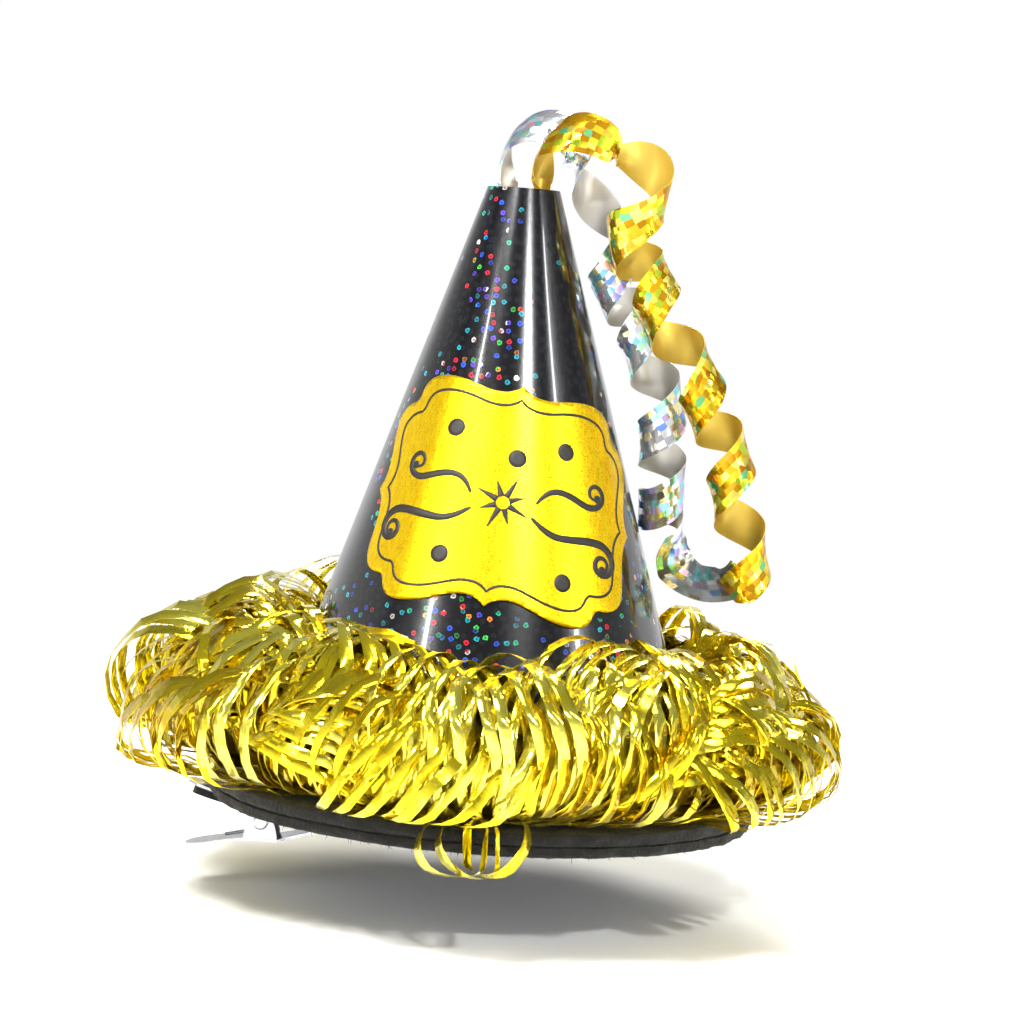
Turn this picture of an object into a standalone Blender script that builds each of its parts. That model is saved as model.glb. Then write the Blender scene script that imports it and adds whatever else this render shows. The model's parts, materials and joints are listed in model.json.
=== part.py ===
"""A clip-on mini party hat: a rolled foil-card cone with a gold plaque label, a ring of gold
foil fringe, two curled ribbon streamers, a felt-covered disc and a sprung hair clip.

Metres, +Z up the cone's axis, +X to the right of the label, -Y towards whoever reads it.
The origin is the centre of the disc's felt underside, where the hat rests on the head.
"""

import math

import bmesh
import bpy
from mathutils import Vector
from mathutils.geometry import interpolate_bezier

# ---------------------------------------------------------------- driving dimensions

FIT_GAP = 0.0003  # between pieces that touch
FACET_SLACK = 0.0001  # more room where flat facets stand for a curve or a tilted sheet
CUT_SNAP = 0.00005  # a cut passes through the points that are this near to it

# The card cone, rolled from one sheet and lapped at the back.
CONE_HEIGHT = 0.142
CONE_BASE_RADIUS = 0.0535
CONE_TIP_RADIUS = 0.0086
CARD_WALL = 0.0005
LAP_DEGREES = 15.0
LAP_RAMP_DEGREES = 10.0
CONE_STEPS = 72

# The disc: felt, greyboard, felt.
FELT_BRIM = 0.012  # how far the disc stands out from the cone
UNDERFELT_THICKNESS = 0.0016
BOARD_THICKNESS = 0.0012
TOP_FELT_THICKNESS = 0.0020
BOARD_INSET = 0.0010
RIM_LIFT = 0.0022  # the clip's lever pushes the left rim up this far
DISC_STEPS = 72
LIFT_STRIPS = 6

# The foil plaque, given flat and wrapped round the cone.
LABEL_HALF_WIDTH = 0.0349
LABEL_HALF_HEIGHT = 0.0270
LABEL_SLANT = 0.1029  # from the cone's apex down to the label's centre
LABEL_AZIMUTH = 1.3  # degrees to the right of straight ahead
LABEL_TURN = -6.4  # degrees, clockwise
LABEL_THICKNESS = 0.0003
LABEL_STRIPS = 14
LABEL_ROWS = 6

# The fringe: a heading tape round the cone and bunches of foil loops.
HEADING_HEIGHT = 0.0065
HEADING_THICKNESS = 0.0008
TUFT_COUNT = 12
TUFT_SPLIT_DEGREES = 1.0
DROOP_GAP = 0.0015  # between the disc's rim and a bunch that hangs past it
# Each bunch, anticlockwise from the right: reach past the disc, top and lowest point, in metres.
TUFTS = (
    (0.0195, 0.0465, 0.0040),
    (0.0185, 0.0500, 0.0060),
    (0.0175, 0.0510, 0.0060),
    (0.0175, 0.0500, 0.0060),
    (0.0190, 0.0500, 0.0060),
    (0.0225, 0.0480, 0.0125),
    (0.0245, 0.0460, 0.0125),
    (0.0215, 0.0470, 0.0060),
    (0.0175, 0.0490, -0.0030),
    (0.0165, 0.0500, -0.0060),
    (0.0175, 0.0500, -0.0040),
    (0.0195, 0.0480, -0.0010),
)

# Hot-melt glue.
BEAD_WIDTH = 0.0026
BEAD_HEIGHT = 0.0030
PLUG_DEPTH = 0.0050  # from the cone's open tip down to the plug
PLUG_LENGTH = 0.0100
PAD_THICKNESS = 0.0015

# The hair clip.
SHEET = 0.0006
CLIP_Y = -0.0060
LEVER_OVERHANG = 0.0040  # the levers' ends stand this far out past the disc
LEVER_LENGTH = 0.0182
JAW_LENGTH = 0.0295
PIVOT_DROP = 0.0040  # from the upper arm's underside to the pin
ARM_HALF_WIDTH = 0.0042
JAW_TIP_HALF_WIDTH = 0.0026
UPPER_LEVER_DEGREES = 15.7
LOWER_LEVER_DEGREES = 11.6
EAR_RADIUS = 0.0030
EAR_HALF_LENGTH = 0.0040
EAR_SHOULDER = 0.0012  # the ear's full width goes this far from the arm
LOWER_NECK = 0.0020  # over which the lower arm narrows on each side of its ears
JAW_LIP = 0.0012  # how far the lower jaw's tip is bent up
JAW_LIP_LENGTH = 0.0020
PIN_RADIUS = 0.0010
PIN_CLEARANCE = 0.00025
PIN_HEAD_RADIUS = 0.0018
PIN_HEAD_THICKNESS = 0.0005
WIRE_RADIUS = 0.0004
SPRING_RADIUS = 0.0020
SPRING_TURNS = 4
SPRING_LEG = 0.0085
SPRING_STEPS = 14  # points on each turn
TAB_THICKNESS = 0.0016
TAB_LENGTH = 0.0070
TAB_SIDE_GAP = 0.0006  # from the scrap's side to the lever's

# The streamers: each curled ribbon is one tube of the curl's outer size.
CURL_RADIUS = 0.0049
ROUTE_STEP = 0.0050
SILVER_ROUTE = (
    (-0.0033, 0.0030, 0.1484),
    (-0.0029, 0.0031, 0.1510),
    (0.0014, 0.0045, 0.1575),
    (0.0088, 0.0055, 0.1605),
    (0.0150, 0.0060, 0.1570),
    (0.0172, 0.0062, 0.1495),
    (0.0180, 0.0062, 0.1415),
    (0.0205, 0.0060, 0.1330),
    (0.0250, 0.0055, 0.1240),
    (0.0300, 0.0050, 0.1160),
    (0.0340, 0.0050, 0.1070),
    (0.0365, 0.0050, 0.0980),
    (0.0378, 0.0055, 0.0885),
    (0.0384, 0.0070, 0.0795),
    (0.0388, 0.0105, 0.0715),
    (0.0402, 0.0150, 0.0645),
    (0.0450, 0.0175, 0.0590),
    (0.0515, 0.0160, 0.0570),
    (0.0580, 0.0120, 0.0590),
    (0.0620, 0.0080, 0.0640),
)
GOLD_ROUTE = (
    (0.0042, -0.0042, 0.1484),
    (0.0047, -0.0043, 0.1510),
    (0.0092, -0.0050, 0.1568),
    (0.0155, -0.0050, 0.1612),
    (0.0222, -0.0050, 0.1622),
    (0.0272, -0.0050, 0.1570),
    (0.0275, -0.0050, 0.1495),
    (0.0263, -0.0045, 0.1415),
    (0.0283, -0.0040, 0.1330),
    (0.0335, -0.0040, 0.1240),
    (0.0395, -0.0040, 0.1130),
    (0.0455, -0.0040, 0.1030),
    (0.0502, -0.0040, 0.0940),
    (0.0544, -0.0035, 0.0830),
    (0.0572, -0.0030, 0.0720),
    (0.0592, -0.0025, 0.0620),
    (0.0604, -0.0020, 0.0545),
)

# ---------------------------------------------------------------- what follows from them

DISC_RADIUS = CONE_BASE_RADIUS + FELT_BRIM
BOARD_LOW = UNDERFELT_THICKNESS + FIT_GAP
TOP_FELT_LOW = BOARD_LOW + BOARD_THICKNESS + FIT_GAP
DISC_TOP = TOP_FELT_LOW + TOP_FELT_THICKNESS
CONE_LOW = DISC_TOP + FIT_GAP
CONE_SLOPE = (CONE_BASE_RADIUS - CONE_TIP_RADIUS) / CONE_HEIGHT
HALF_ANGLE = math.atan(CONE_SLOPE)
APEX = CONE_LOW + CONE_BASE_RADIUS / CONE_SLOPE

HEADING_CLEARANCE = CARD_WALL + 2 * FIT_GAP  # the tape passes over the card's lap
TUFT_CLEARANCE = HEADING_CLEARANCE + HEADING_THICKNESS + 2 * FIT_GAP

PAD_LOW = -FIT_GAP - PAD_THICKNESS
UPPER_ARM_LOW = PAD_LOW - FIT_GAP - SHEET
PIVOT = Vector((-(DISC_RADIUS + LEVER_OVERHANG - LEVER_LENGTH), CLIP_Y, UPPER_ARM_LOW - PIVOT_DROP))
LOWER_FLOOR = -PIVOT_DROP - FACET_SLACK  # the lower arm's upper face, below the pin
LOWER_HALF_WIDTH = ARM_HALF_WIDTH + SHEET + FIT_GAP
# The disc is bent up from here; the card and the fringe's heading hold the rest flat.
LIFT_START = -(CONE_BASE_RADIUS + TUFT_CLEARANCE)
TAB_START = SPRING_LEG + WIRE_RADIUS + 2 * FIT_GAP  # the scrap of felt lies past the spring's leg


def linear(channel):
    """One sRGB channel, 0 to 1, as linear light."""
    if channel <= 0.04045:
        return channel / 12.92
    return ((channel + 0.055) / 1.055) ** 2.4


def make_material(name, colour, roughness, metallic):
    """A Principled material from an sRGB hex colour."""
    made = bpy.data.materials.new(name)
    made.use_nodes = True
    shader = made.node_tree.nodes["Principled BSDF"]
    rgb = [linear(int(colour[i : i + 2], 16) / 255) for i in (0, 2, 4)]
    shader.inputs["Base Color"].default_value = (*rgb, 1.0)
    shader.inputs["Roughness"].default_value = roughness
    shader.inputs["Metallic"].default_value = metallic
    made.diffuse_color = (*rgb, 1.0)
    return made


def place(name, mesh, finish, location=(0, 0, 0)):
    """A visible part of the hat."""
    made = bpy.data.objects.new(name, mesh)
    made.location = location
    made.data.materials.append(finish)
    PARTS.objects.link(made)
    return made


def helper(name, mesh, location=(0, 0, 0)):
    """A cutter or a shape to be joined, which isn't a part by itself."""
    made = bpy.data.objects.new(name, mesh)
    made.location = location
    made.hide_render = True
    made.display_type = "WIRE"
    CUTTERS.objects.link(made)
    return made


def mesh_of(bm, name):
    """The bmesh as a mesh, its faces turned outwards."""
    bmesh.ops.recalc_face_normals(bm, faces=bm.faces)
    made = bpy.data.meshes.new(name)
    bm.to_mesh(made)
    bm.free()
    return made


def smooth(mesh, degrees=35):
    """Shades a round piece smooth, keeping its real edges."""
    mesh.shade_smooth()
    mesh.set_sharp_from_angle(angle=math.radians(degrees))
    return mesh


def turned(name, profile, finish, steps=DISC_STEPS, location=(0, 0, 0), rotation=(0, 0, 0)):
    """A turned piece. Its profile runs down the outer side; a ring's profile is closed."""
    mesh = bpy.data.meshes.new(name)
    ring = min(radius for radius, _ in profile) > 0
    edges = [(i, i + 1) for i in range(len(profile) - 1)]
    if ring:
        edges.append((len(profile) - 1, 0))
    mesh.from_pydata([(radius, 0, z) for radius, z in profile], edges, [])
    made = place(name, mesh, finish, location)
    made.rotation_euler = rotation
    screw = made.modifiers.new("Screw", "SCREW")
    screw.steps = screw.render_steps = steps
    screw.use_merge_vertices = True
    screw.merge_threshold = 0.00001
    screw.use_smooth_shade = False
    return made


def solidify(made, thickness, offset):
    """Gives an open surface its wall."""
    wall = made.modifiers.new("Wall", "SOLIDIFY")
    wall.thickness = thickness
    wall.offset = offset
    wall.use_even_offset = True


def cone_radius(z):
    """The card cone's outer radius at height z."""
    return CONE_BASE_RADIUS - CONE_SLOPE * (z - CONE_LOW)


def inner_radius(z):
    """The card cone's inner radius at height z."""
    return cone_radius(z) - CARD_WALL / math.cos(HALF_ANGLE)


def rim_lift(x):
    """How far the disc is bent up at x by the clip's upper lever."""
    share = max(0.0, LIFT_START - x) / (LIFT_START + DISC_RADIUS)
    return RIM_LIFT * share**2


# ---------------------------------------------------------------- cone and label


def ramp(share):
    """0 to 1 with level ends."""
    share = min(max(share, 0.0), 1.0)
    return share * share * (3 - 2 * share)


def build_cone_card(finish):
    """The rolled sheet: its last stretch steps out and laps over its first."""
    step = 360 / CONE_STEPS
    lap_steps = round(LAP_DEGREES / step)
    start = 90 - LAP_DEGREES / 2
    bm = bmesh.new()
    rows = []
    for i in range(CONE_STEPS + lap_steps + 1):
        angle = i * step
        out = (CARD_WALL + FIT_GAP) * ramp((angle - 360 + LAP_RAMP_DEGREES) / LAP_RAMP_DEGREES)
        turn = math.radians(start + angle)
        row = []
        for z in (CONE_LOW, CONE_LOW + CONE_HEIGHT):
            radius = cone_radius(z) + out
            row.append(bm.verts.new((radius * math.cos(turn), radius * math.sin(turn), z)))
        rows.append(row)
    for (low, high), (next_low, next_high) in zip(rows, rows[1:]):
        bm.faces.new((low, next_low, next_high, high))
    made_mesh = bpy.data.meshes.new("cone_card")
    bm.to_mesh(made_mesh)
    bm.free()
    card = place("cone_card", smooth(made_mesh), finish)
    solidify(card, CARD_WALL, -1)
    return card


def label_outline():
    """The plaque's outline, flat: one quarter as Bezier arcs, mirrored to the other three."""
    arcs = (
        ((0.000, 0.975), (0.055, 0.890), (0.145, 0.875), (0.250, 0.912)),
        ((0.250, 0.912), (0.345, 0.950), (0.445, 1.000), (0.550, 1.000)),
        ((0.550, 1.000), (0.650, 1.000), (0.722, 0.960), (0.742, 0.862)),
        ((0.742, 0.862), (0.750, 0.815), (0.765, 0.790), (0.785, 0.775)),
        ((0.785, 0.775), (0.885, 0.765), (0.957, 0.705), (0.963, 0.578)),
        ((0.963, 0.578), (0.966, 0.445), (0.925, 0.300), (0.940, 0.170)),
        ((0.940, 0.170), (0.948, 0.110), (0.965, 0.050), (1.000, 0.000)),
    )
    quarter = []
    for arc in arcs:
        corners = [Vector((x * LABEL_HALF_WIDTH, y * LABEL_HALF_HEIGHT)) for x, y in arc]
        quarter += list(interpolate_bezier(*corners, 4))[:-1]
    quarter.append(Vector((LABEL_HALF_WIDTH, 0)))
    lower_right = [Vector((p.x, -p.y)) for p in reversed(quarter[:-1])]
    right = quarter + lower_right
    left = [Vector((-p.x, p.y)) for p in reversed(right[1:-1])]
    return right + left


def on_cone(x, y, out):
    """A point of the flat label, wrapped on the cone and standing out from it."""
    turn = math.radians(LABEL_TURN)
    across = x * math.cos(turn) - y * math.sin(turn)
    up = x * math.sin(turn) + y * math.cos(turn)
    slant = math.hypot(across, LABEL_SLANT - up)
    azimuth = math.atan2(across, LABEL_SLANT - up) / math.sin(HALF_ANGLE)
    azimuth += math.radians(LABEL_AZIMUTH)
    radius = slant * math.sin(HALF_ANGLE) + out * math.cos(HALF_ANGLE)
    height = APEX - slant * math.cos(HALF_ANGLE) + out * math.sin(HALF_ANGLE)
    return Vector((radius * math.sin(azimuth), -radius * math.cos(azimuth), height))


def build_label(finish):
    """The flat outline, cut into strips that can bend, then wrapped and given its thickness."""
    bm = bmesh.new()
    bm.faces.new([bm.verts.new((p.x, p.y, 0)) for p in label_outline()])
    cuts = [((i / LABEL_STRIPS * 2 - 1) * LABEL_HALF_WIDTH, (1, 0, 0)) for i in range(1, LABEL_STRIPS)]
    cuts += [((i / LABEL_ROWS * 2 - 1) * LABEL_HALF_HEIGHT, (0, 1, 0)) for i in range(1, LABEL_ROWS)]
    for place_along, normal in cuts:
        everything = bm.verts[:] + bm.edges[:] + bm.faces[:]
        at = Vector(normal) * place_along
        bmesh.ops.bisect_plane(bm, geom=everything, plane_co=at, plane_no=normal, dist=CUT_SNAP)
    bmesh.ops.triangulate(bm, faces=bm.faces)
    for vert in bm.verts:
        vert.co = on_cone(vert.co.x, vert.co.y, FIT_GAP + FACET_SLACK)
    bmesh.ops.recalc_face_normals(bm, faces=bm.faces)
    if sum(face.normal.y for face in bm.faces) > 0:
        bmesh.ops.reverse_faces(bm, faces=bm.faces)
    mesh = bpy.data.meshes.new("label_plaque")
    bm.to_mesh(mesh)
    bm.free()
    label = place("label_plaque", smooth(mesh), finish)
    solidify(label, LABEL_THICKNESS, 1)
    return label


# ---------------------------------------------------------------- the disc and the glue


def build_disc_layer(name, radius, low, thickness, finish):
    """A round layer, bent up on the left, where strips let it follow the bend."""
    bm = bmesh.new()
    bmesh.ops.create_circle(bm, cap_ends=True, radius=radius, segments=DISC_STEPS)
    for i in range(LIFT_STRIPS):
        x = LIFT_START - i / LIFT_STRIPS * (LIFT_START + DISC_RADIUS)
        everything = bm.verts[:] + bm.edges[:] + bm.faces[:]
        at = (x, 0, 0)
        bmesh.ops.bisect_plane(bm, geom=everything, plane_co=at, plane_no=(1, 0, 0), dist=CUT_SNAP)
    for vert in bm.verts:
        vert.co.z = low + rim_lift(vert.co.x)
    grown = bmesh.ops.extrude_face_region(bm, geom=bm.faces[:])["geom"]
    upper = [item for item in grown if isinstance(item, bmesh.types.BMVert)]
    bmesh.ops.translate(bm, verts=upper, vec=(0, 0, thickness))
    return place(name, smooth(mesh_of(bm, name)), finish)


def build_glue(finish):
    """The bead that holds the cone down, the plug in its tip and the pad on the clip."""
    low = CONE_LOW
    outer_low = inner_radius(low) - FIT_GAP
    outer_high = inner_radius(low + BEAD_HEIGHT) - FIT_GAP
    bead = [(outer_high, low + BEAD_HEIGHT), (outer_low, low), (outer_low - BEAD_WIDTH, low)]
    turned("cone_glue_bead", bead, finish)

    plug_top = CONE_LOW + CONE_HEIGHT - PLUG_DEPTH
    plug_low = plug_top - PLUG_LENGTH
    plug = [
        (0, plug_top),
        (inner_radius(plug_top) - FIT_GAP, plug_top),
        (inner_radius(plug_low) - FIT_GAP, plug_low),
        (0, plug_low),
    ]
    turned("tip_glue_plug", plug, finish, steps=24)

    bm = bmesh.new()
    bmesh.ops.create_cube(bm, size=1)
    length = JAW_LENGTH - EAR_HALF_LENGTH - 2 * JAW_TIP_HALF_WIDTH
    bmesh.ops.scale(bm, vec=(length, 2 * JAW_TIP_HALF_WIDTH, PAD_THICKNESS), verts=bm.verts)
    centre = (PIVOT.x + EAR_HALF_LENGTH + length / 2, CLIP_Y, PAD_LOW + PAD_THICKNESS / 2)
    place("clip_glue_pad", mesh_of(bm, "clip_glue_pad"), finish, centre)


# ---------------------------------------------------------------- the fringe


def build_heading(finish):
    """The tape that the foil loops are sewn to, round the cone's foot."""
    low, high = CONE_LOW, CONE_LOW + HEADING_HEIGHT
    profile = (
        (cone_radius(high) + HEADING_CLEARANCE + HEADING_THICKNESS, high),
        (cone_radius(low) + HEADING_CLEARANCE + HEADING_THICKNESS, low),
        (cone_radius(low) + HEADING_CLEARANCE, low),
        (cone_radius(high) + HEADING_CLEARANCE, high),
    )
    return turned("fringe_heading", profile, finish)


def tuft_section(azimuth, reach, top, droop):
    """A bunch's outline on the plane through the cone's axis at this azimuth."""
    floor = DISC_TOP + FIT_GAP
    height = top - floor
    foot = cone_radius(floor) + TUFT_CLEARANCE
    shoulder = floor + 0.88 * height
    brim = DISC_RADIUS + DROOP_GAP
    span = reach - brim
    under = (
        (cone_radius(shoulder) + TUFT_CLEARANCE, shoulder),
        (foot, floor + rim_lift(foot * math.cos(azimuth))),
        (brim, floor + rim_lift(brim * math.cos(azimuth))),
    )
    around = (
        (brim + 0.10 * span, droop),
        (brim + 0.50 * span, droop + 0.03 * height),
        (reach - 0.14 * span, droop + 0.18 * height),
        (reach, floor + 0.45 * height),
        (reach - 0.13 * span, floor + 0.70 * height),
        (brim + 0.30 * span, top - 0.05 * height),
        (brim - 0.30 * span, top),
        (cone_radius(top) + TUFT_CLEARANCE + 0.20 * span, top - 0.02 * height),
    )
    across = (math.cos(azimuth), math.sin(azimuth))
    return [(r * across[0], r * across[1], z) for r, z in under + around]


def build_tuft(index, finish):
    """One bunch of foil loops as a soft, rounded wedge."""
    past_disc, top, droop = TUFTS[index]
    pitch = 360 / TUFT_COUNT
    middle = pitch * (index + 0.5)
    half = pitch / 2 - TUFT_SPLIT_DEGREES / 2
    bm = bmesh.new()
    rings = []
    for share, fullness in ((-1.0, 0.76), (-0.5, 0.94), (0.0, 1.0), (0.5, 0.94), (1.0, 0.76)):
        azimuth = math.radians(middle + share * half)
        reach = DISC_RADIUS + past_disc * fullness
        section = tuft_section(azimuth, reach, top - (1 - fullness) * 0.008, droop)
        rings.append([bm.verts.new(point) for point in section])
    for ring, following in zip(rings, rings[1:]):
        for i in range(len(ring)):
            j = (i + 1) % len(ring)
            bm.faces.new((ring[i], ring[j], following[j], following[i]))
    bm.faces.new(rings[0])
    bm.faces.new(rings[-1])
    name = f"fringe_tuft_{index + 1:02d}"
    return place(name, smooth(mesh_of(bm, name), 60), finish)


# ---------------------------------------------------------------- the hair clip


def strip(name, stations, finish, wall, location):
    """A bent strip of sheet: stations are (x, z, half width) along it, its upper face."""
    bm = bmesh.new()
    rows = [[bm.verts.new((x, side * half, z)) for side in (-1, 1)] for x, z, half in stations]
    for (near, far), (next_near, next_far) in zip(rows, rows[1:]):
        bm.faces.new((near, next_near, next_far, far))
    mesh = bpy.data.meshes.new(name)
    bm.to_mesh(mesh)
    bm.free()
    made = place(name, mesh, finish, location)
    solidify(made, wall, -1)
    return made


def ear_mesh(name, inner_y, side, root_z):
    """A rounded ear round the pin, from the arm's sheet at root_z; side is -1 or 1."""
    sign = 1 if root_z < 0 else -1
    bm = bmesh.new()
    shoulder = root_z + sign * EAR_SHOULDER
    outline = [(-EAR_HALF_LENGTH, root_z), (-EAR_HALF_LENGTH, shoulder)]
    for i in range(9):
        angle = math.radians(180 - i * 22.5)
        outline.append((EAR_RADIUS * math.cos(angle), sign * EAR_RADIUS * math.sin(angle)))
    outline += [(EAR_HALF_LENGTH, shoulder), (EAR_HALF_LENGTH, root_z)]
    face = bm.faces.new([bm.verts.new((x, side * inner_y, z)) for x, z in outline])
    grown = bmesh.ops.extrude_face_region(bm, geom=[face])["geom"]
    moved = [item for item in grown if isinstance(item, bmesh.types.BMVert)]
    bmesh.ops.translate(bm, verts=moved, vec=(0, side * SHEET, 0))
    return mesh_of(bm, name)


def join_ears(arm, inner_y, root_z):
    """Adds both ears to an arm and drills them for the pin."""
    for side in (-1, 1):
        name = f"{arm.name}_ear_{'near' if side < 0 else 'far'}"
        union = arm.modifiers.new("Ear", "BOOLEAN")
        union.operation = "UNION"
        union.object = helper(name, ear_mesh(name, inner_y, side, root_z), PIVOT)
    drill = arm.modifiers.new("Pin hole", "BOOLEAN")
    drill.operation = "DIFFERENCE"
    drill.object = PIN_DRILL


def make_pin_drill():
    """The cylinder that drills every ear."""
    bm = bmesh.new()
    radius = PIN_RADIUS + PIN_CLEARANCE
    bmesh.ops.create_cone(
        bm, cap_ends=True, segments=16, radius1=radius, radius2=radius, depth=4 * LOWER_HALF_WIDTH
    )
    made = helper("pin_drill", mesh_of(bm, "pin_drill"), PIVOT)
    made.rotation_euler = (math.pi / 2, 0, 0)
    return made


def round_end(x, z, slope, half, away):
    """Stations that round off a strip's end at (x, z), going that way along x."""
    return [
        (x + away * half * math.sin(turn), z + away * half * math.sin(turn) * slope, half * math.cos(turn))
        for turn in (math.radians(d) for d in (0, 25, 45, 62, 76))
    ]


def build_upper_arm(finish):
    """The arm glued to the hat: a flat jaw, two ears and a lever that rises past the rim."""
    top = PIVOT_DROP + SHEET
    rise = math.tan(math.radians(UPPER_LEVER_DEGREES))
    jaw_end = JAW_LENGTH - JAW_TIP_HALF_WIDTH
    lever_end = LEVER_LENGTH - ARM_HALF_WIDTH
    lever = round_end(-lever_end, top + (lever_end - EAR_HALF_LENGTH) * rise, -rise, ARM_HALF_WIDTH, -1)
    stations = list(reversed(lever)) + [(-EAR_HALF_LENGTH, top, ARM_HALF_WIDTH)]
    stations += [(EAR_HALF_LENGTH, top, ARM_HALF_WIDTH)]
    stations += round_end(jaw_end, top, 0, JAW_TIP_HALF_WIDTH, 1)
    arm = strip("clip_upper_arm", stations, finish, SHEET, PIVOT)
    join_ears(arm, ARM_HALF_WIDTH - SHEET, PIVOT_DROP + SHEET / 2)
    return arm


def lower_lever_top(x):
    """Height of the lower lever's upper face at x, from the pin."""
    return LOWER_FLOOR + (x + EAR_HALF_LENGTH) * math.tan(math.radians(LOWER_LEVER_DEGREES))


def build_lower_arm(finish):
    """The arm that swings: its jaw climbs to the upper jaw's tip, its lever drops away."""
    fall = math.tan(math.radians(LOWER_LEVER_DEGREES))
    jaw_end = JAW_LENGTH - JAW_TIP_HALF_WIDTH
    closed = PIVOT_DROP - FIT_GAP
    lever_end = LEVER_LENGTH - ARM_HALF_WIDTH
    lever = round_end(-lever_end, lower_lever_top(-lever_end), fall, ARM_HALF_WIDTH, -1)
    neck = EAR_HALF_LENGTH + LOWER_NECK
    climb = (closed - JAW_LIP - LOWER_FLOOR) / (jaw_end - EAR_HALF_LENGTH)
    stations = list(reversed(lever)) + [(-neck, lower_lever_top(-neck), ARM_HALF_WIDTH)]
    stations += [(-EAR_HALF_LENGTH, LOWER_FLOOR, LOWER_HALF_WIDTH)]
    stations += [(EAR_HALF_LENGTH, LOWER_FLOOR, LOWER_HALF_WIDTH)]
    stations += [(neck, LOWER_FLOOR + LOWER_NECK * climb, ARM_HALF_WIDTH)]
    stations += [(jaw_end, closed - JAW_LIP, JAW_TIP_HALF_WIDTH)]
    stations += [(jaw_end + 0.6 * JAW_LIP_LENGTH, closed - 0.5 * JAW_LIP, 0.9 * JAW_TIP_HALF_WIDTH)]
    stations += [(jaw_end + JAW_LIP_LENGTH, closed, 0.7 * JAW_TIP_HALF_WIDTH)]
    arm = strip("clip_lower_arm", stations, finish, SHEET, PIVOT)
    join_ears(arm, LOWER_HALF_WIDTH - SHEET, LOWER_FLOOR - SHEET / 2)
    return arm


def build_pin(finish):
    """The rivet through all four ears, its heads outside the lower arm's."""
    shank = LOWER_HALF_WIDTH + FIT_GAP
    end = shank + PIN_HEAD_THICKNESS
    profile = (
        (0, end),
        (0.8 * PIN_HEAD_RADIUS, end),
        (PIN_HEAD_RADIUS, shank + 0.4 * PIN_HEAD_THICKNESS),
        (PIN_HEAD_RADIUS, shank),
        (PIN_RADIUS, shank),
        (PIN_RADIUS, -shank),
        (PIN_HEAD_RADIUS, -shank),
        (PIN_HEAD_RADIUS, -shank - 0.4 * PIN_HEAD_THICKNESS),
        (0.8 * PIN_HEAD_RADIUS, -end),
        (0, -end),
    )
    return turned("clip_pin", profile, finish, steps=24, location=PIVOT, rotation=(math.pi / 2, 0, 0))


def build_spring(finish):
    """A torsion spring on the pin; its two legs push the levers apart."""
    reach = SPRING_LEG
    rise = math.tan(math.radians(UPPER_LEVER_DEGREES))
    upper = Vector((-reach, PIVOT_DROP + (reach - EAR_HALF_LENGTH) * rise))
    upper.y -= 2 * FIT_GAP + WIRE_RADIUS
    lower = Vector((-reach, lower_lever_top(-reach) + 2 * FIT_GAP + WIRE_RADIUS))
    first = tangent_angle(lower, -1)
    last = tangent_angle(upper, 1) + 360 * SPRING_TURNS
    width = 2 * (ARM_HALF_WIDTH - SHEET - FIT_GAP - 2 * WIRE_RADIUS)
    count = round(SPRING_STEPS * (last - first) / 360)
    points = [(lower.x, -width / 2, lower.y)]
    for i in range(count + 1):
        share = i / count
        angle = math.radians(first + (last - first) * share)
        across = (share - 0.5) * width
        points.append((SPRING_RADIUS * math.cos(angle), across, SPRING_RADIUS * math.sin(angle)))
    points.append((upper.x, width / 2, upper.y))
    return tube("clip_spring", points, WIRE_RADIUS, finish, PIVOT, 2)


def tangent_angle(end, side):
    """Degrees on the coil at which a straight wire to this end leaves it; side is 1 at the top."""
    away = math.atan2(end.y, end.x)
    half = math.acos(SPRING_RADIUS / end.length)
    return math.degrees(away - half) if side > 0 else math.degrees(away + half) - 360 * (away > 0)


def build_tab(finish):
    """A scrap of felt glued under the upper lever, between the two levers."""
    rise = math.tan(math.radians(UPPER_LEVER_DEGREES))
    half = ARM_HALF_WIDTH - TAB_SIDE_GAP
    stations = []
    for share, width in ((1.0, 0.7), (0.9, 0.95), (0.5, 1.0), (0.0, 0.9)):
        x = TAB_START + share * TAB_LENGTH
        z = PIVOT_DROP + (x - EAR_HALF_LENGTH) * rise - FIT_GAP / math.cos(math.atan(rise))
        stations.append((-x, z - FACET_SLACK, half * width))
    return strip("felt_tab", stations, finish, TAB_THICKNESS, PIVOT)


# ---------------------------------------------------------------- the streamers


def tube(name, points, radius, finish, location=(0, 0, 0), resolution=2):
    """A round bar through these points, with filled ends."""
    curve = bpy.data.curves.new(name, "CURVE")
    curve.dimensions = "3D"
    spline = curve.splines.new("POLY")
    spline.points.add(len(points) - 1)
    for knot, point in zip(spline.points, points):
        knot.co = (*point, 1)
    curve.bevel_depth = radius
    curve.bevel_resolution = resolution
    curve.use_fill_caps = True
    return place(name, curve, finish, location)


def smooth_route(route):
    """Points about ROUTE_STEP apart on a Catmull-Rom curve through the route's own points."""
    knots = [Vector(point) for point in route]
    knots = [2 * knots[0] - knots[1]] + knots + [2 * knots[-1] - knots[-2]]
    points = [knots[1]]
    for before, start, end, after in zip(knots, knots[1:], knots[2:], knots[3:]):
        steps = max(1, round((end - start).length / ROUTE_STEP))
        for i in range(1, steps + 1):
            t = i / steps
            points.append(
                0.5
                * (
                    2 * start
                    + (end - before) * t
                    + (2 * before - 5 * start + 4 * end - after) * t**2
                    + (3 * start - before - 3 * end + after) * t**3
                )
            )
    return points


# ---------------------------------------------------------------- all of it


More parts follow.
